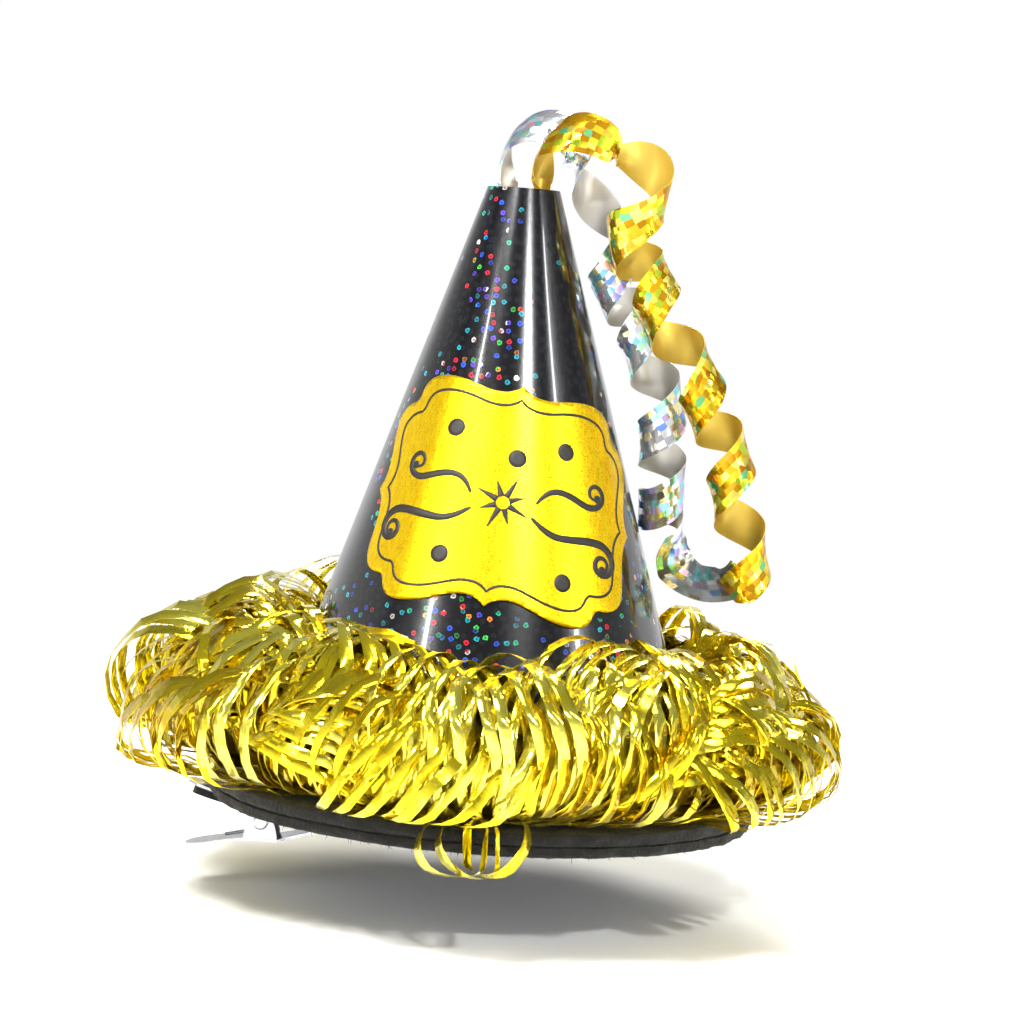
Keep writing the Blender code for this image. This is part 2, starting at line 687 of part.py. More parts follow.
def main():
    """Builds every part of the hat."""
    foil_card = make_material("black_foil_card", "141414", 0.15, 0.6)
    gold_foil = make_material("gold_foil", "E5BE1E", 0.18, 1.0)
    silver_foil = make_material("silver_foil", "C9CDD2", 0.15, 1.0)
    felt = make_material("black_felt", "0E0E0F", 0.95, 0.0)
    board = make_material("greyboard", "8C8578", 0.9, 0.0)
    glue = make_material("hot_melt_glue", "E4DCC6", 0.35, 0.0)
    steel = make_material("nickel_plated_steel", "B9BBBE", 0.25, 1.0)

    build_cone_card(foil_card)
    build_label(gold_foil)
    build_disc_layer("felt_underside", DISC_RADIUS, 0, UNDERFELT_THICKNESS, felt)
    build_disc_layer("base_board", DISC_RADIUS - BOARD_INSET, BOARD_LOW, BOARD_THICKNESS, board)
    build_disc_layer("felt_top", DISC_RADIUS, TOP_FELT_LOW, TOP_FELT_THICKNESS, felt)
    build_glue(glue)
    build_heading(gold_foil)
    for index in range(TUFT_COUNT):
        build_tuft(index, gold_foil)
    build_upper_arm(steel)
    build_lower_arm(steel)
    build_pin(steel)
    build_spring(steel)
    build_tab(felt)
    tube("silver_streamer", smooth_route(SILVER_ROUTE), CURL_RADIUS, silver_foil)
    tube("gold_streamer", smooth_route(GOLD_ROUTE), CURL_RADIUS, gold_foil)


for old in list(bpy.data.objects):
    bpy.data.objects.remove(old)
PARTS = bpy.data.collections.new("party_hat")
CUTTERS = bpy.data.collections.new("cutters")
for group in (PARTS, CUTTERS):
    bpy.context.scene.collection.children.link(group)
PIN_DRILL = make_pin_drill()
main()
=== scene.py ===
"""Looks of a clip-on mini party hat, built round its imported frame.

A rolled card cone in black holographic film carries a gold foil plaque. Bunches of gold film loops
ring its foot, two curled ribbons spring from its open tip, and a felt-covered disc with a sprung
hair clip holds it on the head. Metres, +Z up the cone's axis, -Y towards whoever reads the plaque.
"""

import json
import logging
import math
import random
from dataclasses import dataclass, field
from enum import Enum
from typing import Any, Sequence

import bmesh
import bpy
import numpy as np
from mathutils import Matrix, Vector, noise
from mathutils.geometry import interpolate_bezier

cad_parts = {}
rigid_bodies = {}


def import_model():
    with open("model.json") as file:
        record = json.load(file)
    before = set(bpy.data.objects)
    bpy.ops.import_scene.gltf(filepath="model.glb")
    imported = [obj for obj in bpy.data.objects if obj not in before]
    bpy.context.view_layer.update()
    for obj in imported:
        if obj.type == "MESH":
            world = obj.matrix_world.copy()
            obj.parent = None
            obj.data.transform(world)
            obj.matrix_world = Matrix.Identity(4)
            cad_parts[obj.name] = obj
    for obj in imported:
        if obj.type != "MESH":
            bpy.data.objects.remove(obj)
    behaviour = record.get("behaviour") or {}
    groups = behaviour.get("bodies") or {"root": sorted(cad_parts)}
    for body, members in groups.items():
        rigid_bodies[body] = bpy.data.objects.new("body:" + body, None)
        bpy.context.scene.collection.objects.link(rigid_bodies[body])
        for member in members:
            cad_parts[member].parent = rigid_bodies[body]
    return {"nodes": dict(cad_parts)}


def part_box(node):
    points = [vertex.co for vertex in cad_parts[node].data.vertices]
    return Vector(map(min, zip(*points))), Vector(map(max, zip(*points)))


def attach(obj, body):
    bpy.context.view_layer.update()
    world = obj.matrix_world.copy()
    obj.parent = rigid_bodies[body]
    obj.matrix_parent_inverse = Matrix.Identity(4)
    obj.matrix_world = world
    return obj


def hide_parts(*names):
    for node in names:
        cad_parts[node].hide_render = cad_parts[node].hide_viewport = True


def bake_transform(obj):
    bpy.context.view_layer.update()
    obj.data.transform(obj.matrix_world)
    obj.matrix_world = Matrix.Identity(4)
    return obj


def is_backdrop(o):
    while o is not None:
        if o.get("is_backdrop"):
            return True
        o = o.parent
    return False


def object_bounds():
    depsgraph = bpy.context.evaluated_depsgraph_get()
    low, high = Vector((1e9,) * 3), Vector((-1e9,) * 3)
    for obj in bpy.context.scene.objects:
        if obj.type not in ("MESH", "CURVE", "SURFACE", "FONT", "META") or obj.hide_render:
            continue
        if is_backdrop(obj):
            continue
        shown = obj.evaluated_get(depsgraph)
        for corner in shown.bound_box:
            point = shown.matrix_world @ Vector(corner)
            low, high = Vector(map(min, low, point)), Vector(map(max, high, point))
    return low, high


LOG = logging.getLogger("party_hat")

MM = 0.001
FIT_GAP = 0.0003  # between pieces that touch
RIM_LIFT = 0.0022  # the disc is bent up this far over the clip
OPEN_JAW_DROP = 0.0095  # the open clip swings this far below the closed one


class Body(Enum):
    """The rigid bodies that pieces ride on."""

    HAT = "hat"
    JAW = "clip_jaw"


class Tint(Enum):
    """The two colours of curling ribbon."""

    GOLD = "gold"
    SILVER = "silver"


# ------------------------------------------------------------------------------- shared helpers


def linear(code: str) -> tuple[float, float, float, float]:
    """Turns an sRGB hex colour into linear light.

    Args:
        code: Six hex digits.

    Returns:
        Red, green and blue in linear light, with full alpha.
    """
    shares = [int(code[i : i + 2], 16) / 255 for i in (0, 2, 4)]
    lit = [s / 12.92 if s <= 0.04045 else ((s + 0.055) / 1.055) ** 2.4 for s in shares]
    return (lit[0], lit[1], lit[2], 1.0)


def feed(node: bpy.types.Node, inputs: dict) -> None:
    """Gives a node's inputs their values and links.

    Args:
        node: The node that gets them.
        inputs: Socket name or number to a value, to the output that feeds it, or to the node whose
            first output does.
    """
    for key, value in inputs.items():
        source = value.outputs[0] if isinstance(value, bpy.types.Node) else value
        if isinstance(source, bpy.types.NodeSocket):
            node.id_data.links.new(source, node.inputs[key])
        else:
            node.inputs[key].default_value = source


def add_node(
    tree: bpy.types.NodeTree, kind: str, inputs: dict | None = None, **settings: Any
) -> bpy.types.Node:
    """Adds one node with its settings, values and links.

    Args:
        tree: The node tree that gets the node.
        kind: The node's type name.
        inputs: What feeds its sockets, as feed takes it.
        **settings: Properties of the node.

    Returns:
        The new node.
    """
    node = tree.nodes.new(kind)
    for key, value in settings.items():
        setattr(node, key, value)
    feed(node, inputs or {})
    return node


def node_group(title: str, inputs: dict[str, str]) -> bpy.types.NodeTree:
    """Starts a Geometry Nodes tree with one geometry in and one out.

    Args:
        title: The tree's name.
        inputs: The name of each further input, and its kind of socket.

    Returns:
        The tree, with its sockets and no nodes.
    """
    tree = bpy.data.node_groups.new(title, "GeometryNodeTree")
    rows = [("Geometry", "INPUT", "Geometry")]
    rows += [(name, "INPUT", kind) for name, kind in inputs.items()]
    for name, way, kind in rows + [("Geometry", "OUTPUT", "Geometry")]:
        tree.interface.new_socket(name, in_out=way, socket_type=f"NodeSocket{kind}")
    return tree


def run_group(made: bpy.types.Object, tree: bpy.types.NodeTree, values: dict[str, Any]) -> bpy.types.Object:
    """Runs a Geometry Nodes tree on an object and keeps the result as its plain mesh.

    Args:
        made: The object.
        tree: The tree.
        values: The name of each of the tree's inputs, and its value.

    Returns:
        The same object.
    """
    names = {item.name: item.identifier for item in tree.interface.items_tree if item.in_out == "INPUT"}
    nodes = made.modifiers.new(tree.name, "NODES")
    nodes.node_group = tree
    for name, value in values.items():
        nodes[names[name]] = value
    return baked(made)


def ramp(share: float) -> float:
    """Runs from 0 to 1 with level ends."""
    share = min(max(share, 0.0), 1.0)
    return share * share * (3 - 2 * share)


def link(name: str, mesh: bpy.types.Mesh, *materials: bpy.types.Material) -> bpy.types.Object:
    """Puts a mesh in the scene as one object with these materials.

    Args:
        name: The object's name.
        mesh: Its mesh, already in place.
        *materials: Its material slots in order.

    Returns:
        The new object.
    """
    made = bpy.data.objects.new(name, mesh)
    for material in materials:
        made.data.materials.append(material)
    bpy.context.scene.collection.objects.link(made)
    return made


def from_bmesh(bm: bmesh.types.BMesh, name: str, smooth_degrees: float = 40) -> bpy.types.Mesh:
    """Turns a bmesh into a smooth-shaded mesh with its faces pointing outwards.

    Args:
        bm: The bmesh, which is freed.
        name: The mesh's name.
        smooth_degrees: Edges sharper than this stay sharp.

    Returns:
        The new mesh.
    """
    bmesh.ops.recalc_face_normals(bm, faces=bm.faces)
    mesh = bpy.data.meshes.new(name)
    bm.to_mesh(mesh)
    bm.free()
    mesh.shade_smooth()
    mesh.set_sharp_from_angle(angle=math.radians(smooth_degrees))
    return mesh


def baked(made: bpy.types.Object) -> bpy.types.Object:
    """Replaces an object's mesh by its evaluated one, and drops its modifiers."""
    bpy.context.view_layer.update()
    evaluated = made.evaluated_get(bpy.context.evaluated_depsgraph_get())
    mesh = bpy.data.meshes.new_from_object(evaluated)
    made.modifiers.clear()
    made.data = mesh
    return made


def solid_sheet(name: str, rows: list[list[Vector]], thickness: float, uv: list[list[tuple]] | None = None,
        closed: bool = False) -> bpy.types.Mesh:
    """Builds a closed thin sheet from a grid of points on its outer face.

    Args:
        name: The mesh's name.
        rows: The grid of points, row by row.
        thickness: How far the inner face lies behind the outer one.
        uv: A flat coordinate for each point, in metres.
        closed: Whether the last row joins the first.

    Returns:
        A mesh whose outer face is material 0, and whose inner face and edges are material 1.
    """
    points = np.array([[tuple(p) for p in row] for row in rows])
    count, across = points.shape[:2]
    if closed:
        along = np.roll(points, -1, 0) - np.roll(points, 1, 0)
    else:
        along = np.gradient(points, axis=0)
    normal = np.cross(along, np.gradient(points, axis=1))
    normal /= np.maximum(np.linalg.norm(normal, axis=2, keepdims=True), 1e-12)
    vertices = np.concatenate([points, points - normal * thickness], axis=0).reshape(-1, 3)
    inner = count * across
    faces, kinds = [], []
    spans = count if closed else count - 1
    for i in range(spans):
        j = (i + 1) % count
        for k in range(across - 1):
            a, b, c, d = i * across + k, j * across + k, j * across + k + 1, i * across + k + 1
            faces += [(a, b, c, d), (inner + d, inner + c, inner + b, inner + a)]
            kinds += [0, 1]
        for k, turn in ((0, False), (across - 1, True)):
            a, b = i * across + k, j * across + k
            edge = (a, inner + a, inner + b, b)
            faces.append(tuple(reversed(edge)) if turn else edge)
            kinds.append(1)
    if not closed:
        for i, turn in ((0, True), (count - 1, False)):
            for k in range(across - 1):
                a, b = i * across + k, i * across + k + 1
                edge = (a, inner + a, inner + b, b)
                faces.append(tuple(reversed(edge)) if turn else edge)
                kinds.append(1)
    mesh = bpy.data.meshes.new(name)
    mesh.from_pydata(vertices.tolist(), [], faces)
    mesh.polygons.foreach_set("material_index", kinds)
    if uv is not None:
        flat = np.array(uv, float).reshape(-1, 2)
        flat = np.concatenate([flat, flat], axis=0)
        layer = mesh.uv_layers.new(name="sheet")
        corners = np.zeros(len(mesh.loops), np.int32)
        mesh.loops.foreach_get("vertex_index", corners)
        layer.data.foreach_set("uv", flat[corners].ravel())
    mesh.shade_smooth()
    mesh.set_sharp_from_angle(angle=math.radians(50))
    mesh.update()
    return mesh


def smooth_route(route: Sequence[tuple], step: float) -> list[Vector]:
    """Reads points off a Catmull-Rom curve through a route's own points.

    Args:
        route: The route's points.
        step: The distance between the points read off.

    Returns:
        The points in order.
    """
    knots = [Vector(point) for point in route]
    knots = [2 * knots[0] - knots[1]] + knots + [2 * knots[-1] - knots[-2]]
    points = [knots[1]]
    for before, start, end, after in zip(knots, knots[1:], knots[2:], knots[3:]):
        steps = max(1, round((end - start).length / step))
        for i in range(1, steps + 1):
            t = i / steps
            cubic = 3 * start - before - 3 * end + after
            square = 2 * before - 5 * start + 4 * end - after
            points.append(0.5 * (2 * start + (end - before) * t + square * t**2 + cubic * t**3))
    return points


# ------------------------------------------------------------------------------------- finishes


@dataclass(frozen=True)
class Finish:
    """A material's common values, with a Principled shader."""

    name: str
    colour: str
    roughness: float
    metallic: float = 0.0
    coat: float = 0.0
    coat_roughness: float = 0.05
    sheen: float = 0.0

    def start(self) -> tuple[bpy.types.Material, bpy.types.NodeTree, bpy.types.Node]:
        """Makes the material with its uniform values on the shader's own sockets.

        Returns:
            The material, its node tree and its shader.
        """
        made = bpy.data.materials.new(self.name)
        made.use_nodes = True
        tree = made.node_tree
        shader = tree.nodes["Principled BSDF"]
        feed(shader, {"Base Color": linear(self.colour), "Roughness": self.roughness,
            "Metallic": self.metallic, "Coat Weight": self.coat, "Coat Roughness": self.coat_roughness,
            "Sheen Weight": self.sheen})
        return made, tree, shader

    def material(self) -> bpy.types.Material:
        """Makes the finished material."""
        return self.start()[0]


@dataclass(frozen=True)
class HolographicCard(Finish):
    """Black paperboard laminated with embossed film: small rings that flash in single colours, the flashes
    painted into the base colour as painted glints.
    """

    dot_spacing: float = 2.1 * MM
    dot_radius: float = 0.64 * MM
    hole_radius: float = 0.36 * MM

    def material(self) -> bpy.types.Material:
        """Makes the film, its rings and their painted coloured glints drawn in the flat sheet's own
        coordinates.
        """
        made, tree, shader = self.start()
        flat = add_node(tree, "ShaderNodeUVMap", uv_map="sheet")
        cells = add_node(tree, "ShaderNodeTexVoronoi", {"Vector": flat, "Scale": 1 / self.dot_spacing,
            "Randomness": 0.85}, voronoi_dimensions="2D")
        chance = add_node(tree, "ShaderNodeSeparateColor", {0: cells.outputs["Color"]})
        patch = add_node(tree, "ShaderNodeTexNoise", {"Vector": flat, "Scale": 1 / (26 * MM), "Detail": 1.0},
            noise_dimensions="2D")
        # A ring: inside the dot and, for most of them, outside its hole.
        reach = self.dot_radius / self.dot_spacing
        hole = self.hole_radius / self.dot_spacing
        wobble = add_node(tree, "ShaderNodeTexNoise", {"Vector": flat, "Scale": 1 / (0.5 * MM),
            "Detail": 0.0}, noise_dimensions="2D")
        bent = add_node(tree, "ShaderNodeMath", {0: wobble, 1: 0.16, 2: cells.outputs["Distance"]},
            operation="MULTIPLY_ADD")
        distance = add_node(tree, "ShaderNodeMath", {0: bent, 1: 0.08}, operation="SUBTRACT")
        disc = add_node(tree, "ShaderNodeMapRange", {"Value": distance, "From Min": reach,
            "From Max": reach * 0.82, "To Min": 0.0, "To Max": 1.0})
        cored = add_node(tree, "ShaderNodeMapRange", {"Value": distance, "From Min": hole * 0.7,
            "From Max": hole * 1.3, "To Min": 0.25, "To Max": 1.0})
        ring = add_node(tree, "ShaderNodeMath", {0: disc, 1: cored}, operation="MULTIPLY")
        # Painted glints: few rings are painted as catching the light, in clusters, each with its own painted
        # brightness.
        bar = add_node(tree, "ShaderNodeMapRange", {"Value": patch, "From Min": 0.38, "From Max": 0.62,
            "To Min": 0.97, "To Max": 0.42})
        lit = add_node(tree, "ShaderNodeMath", {0: chance.outputs[0], 1: bar}, operation="GREATER_THAN")
        painted_glint_strength = add_node(tree, "ShaderNodeMapRange", {"Value": chance.outputs[2], "To Min": 0.22,
            "To Max": 1.0})
        flash = add_node(tree, "ShaderNodeMath", {0: lit, 1: painted_glint_strength}, operation="MULTIPLY")
        shown = add_node(tree, "ShaderNodeMath", {0: ring, 1: flash}, operation="MULTIPLY")
        # The painted glint colour: neighbours diffract nearly the same colour, because they lie at the same
        # tilt.
        drift = add_node(tree, "ShaderNodeMath", {0: chance.outputs[1], 1: 0.62, 2: patch},
            operation="MULTIPLY_ADD")
        hue = add_node(tree, "ShaderNodeMath", {0: drift}, operation="FRACT")
        palette = add_node(tree, "ShaderNodeValToRGB", {0: hue})
        fill_ramp(palette.color_ramp, ((0.0, "E0203A"), (0.10, "F08A30"), (0.16, "3FBF4A"), (0.34, "19B98F"),
            (0.60, "1FA8B8"), (0.76, "2C58E0"), (0.88, "6A45D8"), (0.95, "F2F0E8")))
        faint = add_node(tree, "ShaderNodeMath", {0: ring, 1: 0.05}, operation="MULTIPLY")
        dull = add_node(tree, "ShaderNodeMix", {0: faint, 6: linear(self.colour), 7: linear("6E747C")},
            data_type="RGBA")
        colour = add_node(tree, "ShaderNodeMix", {0: shown, 6: dull.outputs[2], 7: palette},
            data_type="RGBA")
        # The painted glints, in their diffracted colours, go into the base colour over the dark film and dull
        # rings.
        feed(shader, {"Base Color": colour.outputs[2]})
        # Card fibre shows through the film as a very shallow orange peel, about 1.5 mm across.
        peel = add_node(tree, "ShaderNodeTexNoise", {"Vector": flat, "Scale": 1 / (1.5 * MM), "Detail": 3.0})
        bump = add_node(tree, "ShaderNodeBump", {"Height": peel, "Strength": 0.05, "Distance": 0.2 * MM})
        feed(shader, {"Normal": bump})
        return made


def fill_ramp(ramp_data: bpy.types.ColorRamp, stops: Sequence[tuple[float, str]], steps: bool = True) -> None:
    """Sets a colour ramp's stops.

    Args:
        ramp_data: The ramp.
        stops: Places and sRGB hex colours.
        steps: Whether the colours change in steps.
    """
    ramp_data.interpolation = "CONSTANT" if steps else "LINEAR"
    while len(ramp_data.elements) < len(stops):
        ramp_data.elements.new(1.0)
    for element, (place, colour) in zip(ramp_data.elements, stops):
        element.position = place
        element.color = linear(colour)


@dataclass(frozen=True)
class HotFoil(Finish):
    """Gold hot-stamping foil on label stock: a soft mirror with a faint vertical grain, its streaks of tone
    partly painted reflection.
    """

    def material(self) -> bpy.types.Material:
        """Makes the foil with its grain as bump, and small changes of tone along the grain that are partly
        the foil's own and partly painted reflection streaks.
        """
        made, tree, shader = self.start()
        place = add_node(tree, "ShaderNodeTexCoord").outputs["Object"]
        stretched = add_node(tree, "ShaderNodeMapping", {"Vector": place, "Scale": (1.0, 1.0, 0.06)})
        grain = add_node(tree, "ShaderNodeTexNoise", {"Vector": stretched, "Scale": 1 / (0.7 * MM),
            "Detail": 4.0, "Roughness": 0.6})
        speckle = add_node(
            tree, "ShaderNodeTexNoise", {"Vector": place, "Scale": 1 / (0.45 * MM), "Detail": 2.0}
        )
        # Tone along the vertical grain: partly the foil's own grain, partly painted reflection streaks
        # standing in for the bright bands that the card's flutes throw.
        tone = add_node(tree, "ShaderNodeValToRGB", {0: grain})
        fill_ramp(tone.color_ramp, ((0.32, "EBB80C"), (0.54, self.colour), (0.76, "FBDC24")), steps=False)
        rough = add_node(tree, "ShaderNodeMapRange", {"Value": speckle, "To Min": 0.18, "To Max": 0.42})
        bump = add_node(tree, "ShaderNodeBump", {"Height": grain, "Strength": 0.16, "Distance": 0.15 * MM})
        feed(shader, {"Base Color": tone, "Roughness": rough, "Normal": bump})
        return made


@dataclass(frozen=True)
class FringeFilm(Finish):
    """Metallised polyester film, slit and looped: lemon gold, with fine creases across each strip."""

    def material(self) -> bpy.types.Material:
        """Makes the film, each loop a little apart in tone."""
        made, tree, shader = self.start()
        own = add_node(tree, "ShaderNodeAttribute", attribute_name="tone").outputs["Fac"]
        place = add_node(tree, "ShaderNodeTexCoord").outputs["Object"]
        wide = add_node(tree, "ShaderNodeTexNoise", {"Vector": place, "Scale": 1 / (9 * MM), "Detail": 2.0})
        mixed = add_node(tree, "ShaderNodeMath", {0: own, 1: 0.55, 2: wide}, operation="MULTIPLY_ADD")
        tone = add_node(tree, "ShaderNodeValToRGB", {0: mixed})
        fill_ramp(tone.color_ramp, ((0.30, "D8B016"), (0.58, "E6CC1E"), (0.80, self.colour),
            (1.0, "F8EE60")), steps=False)
        # Creases lie across the strip, about a millimetre apart along it.
        strip = add_node(tree, "ShaderNodeAttribute", attribute_name="strip").outputs["Vector"]
        crease = add_node(tree, "ShaderNodeTexNoise", {"Vector": strip, "Scale": 1 / (1.1 * MM),
            "Detail": 2.0})
        dent = add_node(tree, "ShaderNodeTexNoise", {"Vector": place, "Scale": 1 / (2.6 * MM), "Detail": 1.0})
        height = add_node(tree, "ShaderNodeMath", {0: crease, 1: 0.5, 2: dent}, operation="MULTIPLY_ADD")
        bump = add_node(tree, "ShaderNodeBump", {"Height": height, "Strength": 0.35, "Distance": 0.35 * MM})
        feed(shader, {"Base Color": tone, "Normal": bump})
        return made


@dataclass(frozen=True)
class RibbonFace(Finish):
    """The embossed face of holographic curling ribbon: a mosaic of facets, each with its own colour."""

    stops: tuple = ()
    facet: float = 1.5 * MM

    def material(self) -> bpy.types.Material:
        """Makes the mosaic in the ribbon's own flat coordinates, each facet tilted its own way."""
        made, tree, shader = self.start()
        flat = add_node(tree, "ShaderNodeUVMap", uv_map="sheet")
        squeezed = add_node(tree, "ShaderNodeMapping", {"Vector": flat, "Scale": (0.72, 1.0, 1.0)})
        cells = add_node(tree, "ShaderNodeTexVoronoi", {"Vector": squeezed, "Scale": 1 / self.facet,
            "Randomness": 0.55, "Exponent": 5.0}, voronoi_dimensions="2D", distance="MINKOWSKI")
        chance = add_node(tree, "ShaderNodeSeparateColor", {0: cells.outputs["Color"]})
        palette = add_node(tree, "ShaderNodeValToRGB", {0: chance.outputs[0]})
        fill_ramp(palette.color_ramp, self.stops)
        feed(shader, {"Base Color": palette})
        lean = add_node(tree, "ShaderNodeVectorMath", {0: cells.outputs["Color"], 1: (0.5, 0.5, 0.5)},
            operation="SUBTRACT")
        small = add_node(tree, "ShaderNodeVectorMath", {0: lean, "Scale": 0.42}, operation="SCALE")
        face = add_node(tree, "ShaderNodeNewGeometry").outputs["Normal"]
        tilted = add_node(tree, "ShaderNodeVectorMath", {0: face, 1: small}, operation="ADD")
        unit = add_node(tree, "ShaderNodeVectorMath", {0: tilted}, operation="NORMALIZE")
        feed(shader, {"Normal": unit})
        return made


@dataclass(frozen=True)
class RibbonBack(Finish):
    """The plain back of curling ribbon: satin film with faint draw lines along it."""

    def material(self) -> bpy.types.Material:
        """Makes the back with its lines about 0.6 mm apart across the ribbon."""
        made, tree, shader = self.start()
        flat = add_node(tree, "ShaderNodeUVMap", uv_map="sheet")
        along = add_node(tree, "ShaderNodeMapping", {"Vector": flat, "Scale": (0.05, 1.0, 1.0)})
        lines = add_node(tree, "ShaderNodeTexNoise", {"Vector": along, "Scale": 1 / (0.6 * MM),
            "Detail": 2.0})
        bump = add_node(tree, "ShaderNodeBump", {"Height": lines, "Strength": 0.12, "Distance": 0.1 * MM})
        feed(shader, {"Normal": bump})
        return made


@dataclass(frozen=True)
class Felt(Finish):
    """Needled craft felt: matted acrylic fibres, dull black with a little lift at grazing angles."""

    def material(self) -> bpy.types.Material:
        """Makes the felt with mottling about 1 mm across and a rough, matted bump."""
        made, tree, shader = self.start()
        place = add_node(tree, "ShaderNodeTexCoord").outputs["Object"]
        matted = add_node(tree, "ShaderNodeTexNoise", {"Vector": place, "Scale": 1 / (0.9 * MM),
            "Detail": 5.0, "Roughness": 0.7})
        tone = add_node(tree, "ShaderNodeValToRGB", {0: matted})
        fill_ramp(tone.color_ramp, ((0.35, "030304"), (0.55, self.colour), (0.78, "222224")), steps=False)
        bump = add_node(tree, "ShaderNodeBump", {"Height": matted, "Strength": 0.8, "Distance": 0.5 * MM})
        feed(shader, {"Base Color": tone, "Normal": bump})
        return made


@dataclass(frozen=True)
class Speckled(Finish):
    """A plain material with a fine change of tone and a matching bump."""

    other: str = "808080"
    grain: float = 1.0 * MM
    depth: float = 0.1 * MM
    strength: float = 0.3

    def material(self) -> bpy.types.Material:
        """Makes the material from its two tones."""
        made, tree, shader = self.start()
        place = add_node(tree, "ShaderNodeTexCoord").outputs["Object"]
        grain = add_node(tree, "ShaderNodeTexNoise", {"Vector": place, "Scale": 1 / self.grain,
            "Detail": 4.0})
        tone = add_node(tree, "ShaderNodeValToRGB", {0: grain})
        fill_ramp(tone.color_ramp, ((0.38, self.other), (0.62, self.colour)), steps=False)
        bump = add_node(tree, "ShaderNodeBump", {"Height": grain, "Strength": self.strength,
            "Distance": self.depth})
        feed(shader, {"Base Color": tone, "Normal": bump})
        return made


GOLD_STOPS = ((0.0, "DDAA18"), (0.30, "F0D030"), (0.52, "C08A14"), (0.66, "F8E868"), (0.80, "E0902A"),
    (0.86, "B8CC30"), (0.95, "7CCF8A"))
SILVER_STOPS = ((0.0, "CDCFD1"), (0.28, "F0F1F2"), (0.50, "AEB0B4"), (0.60, "98E0E8"), (0.73, "7FA6EA"),
    (0.80, "C4B4F0"), (0.87, "B8ECC8"), (0.92, "F0E8B4"), (0.96, "F0C4CE"))


@dataclass
class Finishes:
    """Every material of the hat, made once."""

    card: bpy.types.Material = field(init=False)
    card_back: bpy.types.Material = field(init=False)
    plaque: bpy.types.Material = field(init=False)
    ink: bpy.types.Material = field(init=False)
    fringe: bpy.types.Material = field(init=False)
    felt: bpy.types.Material = field(init=False)
    board: bpy.types.Material = field(init=False)
    glue: bpy.types.Material = field(init=False)
    steel: bpy.types.Material = field(init=False)
    spring: bpy.types.Material = field(init=False)

    def __post_init__(self) -> None:
        """Makes the materials."""
        self.card = HolographicCard("holographic_black_card", "0A0A0C", 0.17, 0.0, 0.55, 0.03).material()
        self.card_back = Speckled("bare_card_back", "B9B2A4", 0.85, other="A39B8C", grain=0.8 * MM).material()
        self.plaque = HotFoil("gold_stamping_foil", "F6CE12", 0.28, 0.84).material()
        self.ink = Speckled("printing_ink", "1A150E", 0.6, other="120E09", grain=0.5 * MM).material()
        self.fringe = FringeFilm("gold_polyester_film", "EEDC2A", 0.16, 0.92).material()
        self.felt = Felt("needled_black_felt", "0B0B0C", 0.95, sheen=0.12).material()
        self.board = Speckled(
            "black_faced_greyboard", "2A2826", 0.9, other="1E1C1B", grain=0.7 * MM
        ).material()
        self.glue = Speckled("hot_melt_glue", "E4DCC6", 0.3, other="D6CBAE", grain=2.5 * MM).material()
        self.steel = Speckled("nickel_plated_steel", "C4C6C9", 0.24, 1.0, other="AEB0B4", grain=1.6 * MM,
            strength=0.08).material()
        self.spring = Speckled("music_wire", "8F9194", 0.3, 1.0, other="77797C", grain=0.6 * MM).material()

    def ribbon(self, tint: Tint) -> tuple[bpy.types.Material, bpy.types.Material]:
        """Makes a ribbon's face and back.

        Args:
            tint: The ribbon's colour.

        Returns:
            The materials of its face and its back.
        """
        if tint is Tint.GOLD:
            face = RibbonFace("gold_ribbon_face", "E0B020", 0.2, 0.88, stops=GOLD_STOPS)
            back = RibbonBack("gold_ribbon_back", "BCA040", 0.45, 0.6)
        else:
            face = RibbonFace("silver_ribbon_face", "C8CACC", 0.2, 0.88, stops=SILVER_STOPS)
            back = RibbonBack("silver_ribbon_back", "C6C3BC", 0.45, 0.6)
        return face.material(), back.material()


# ---------------------------------------------------------------------------------- the cone


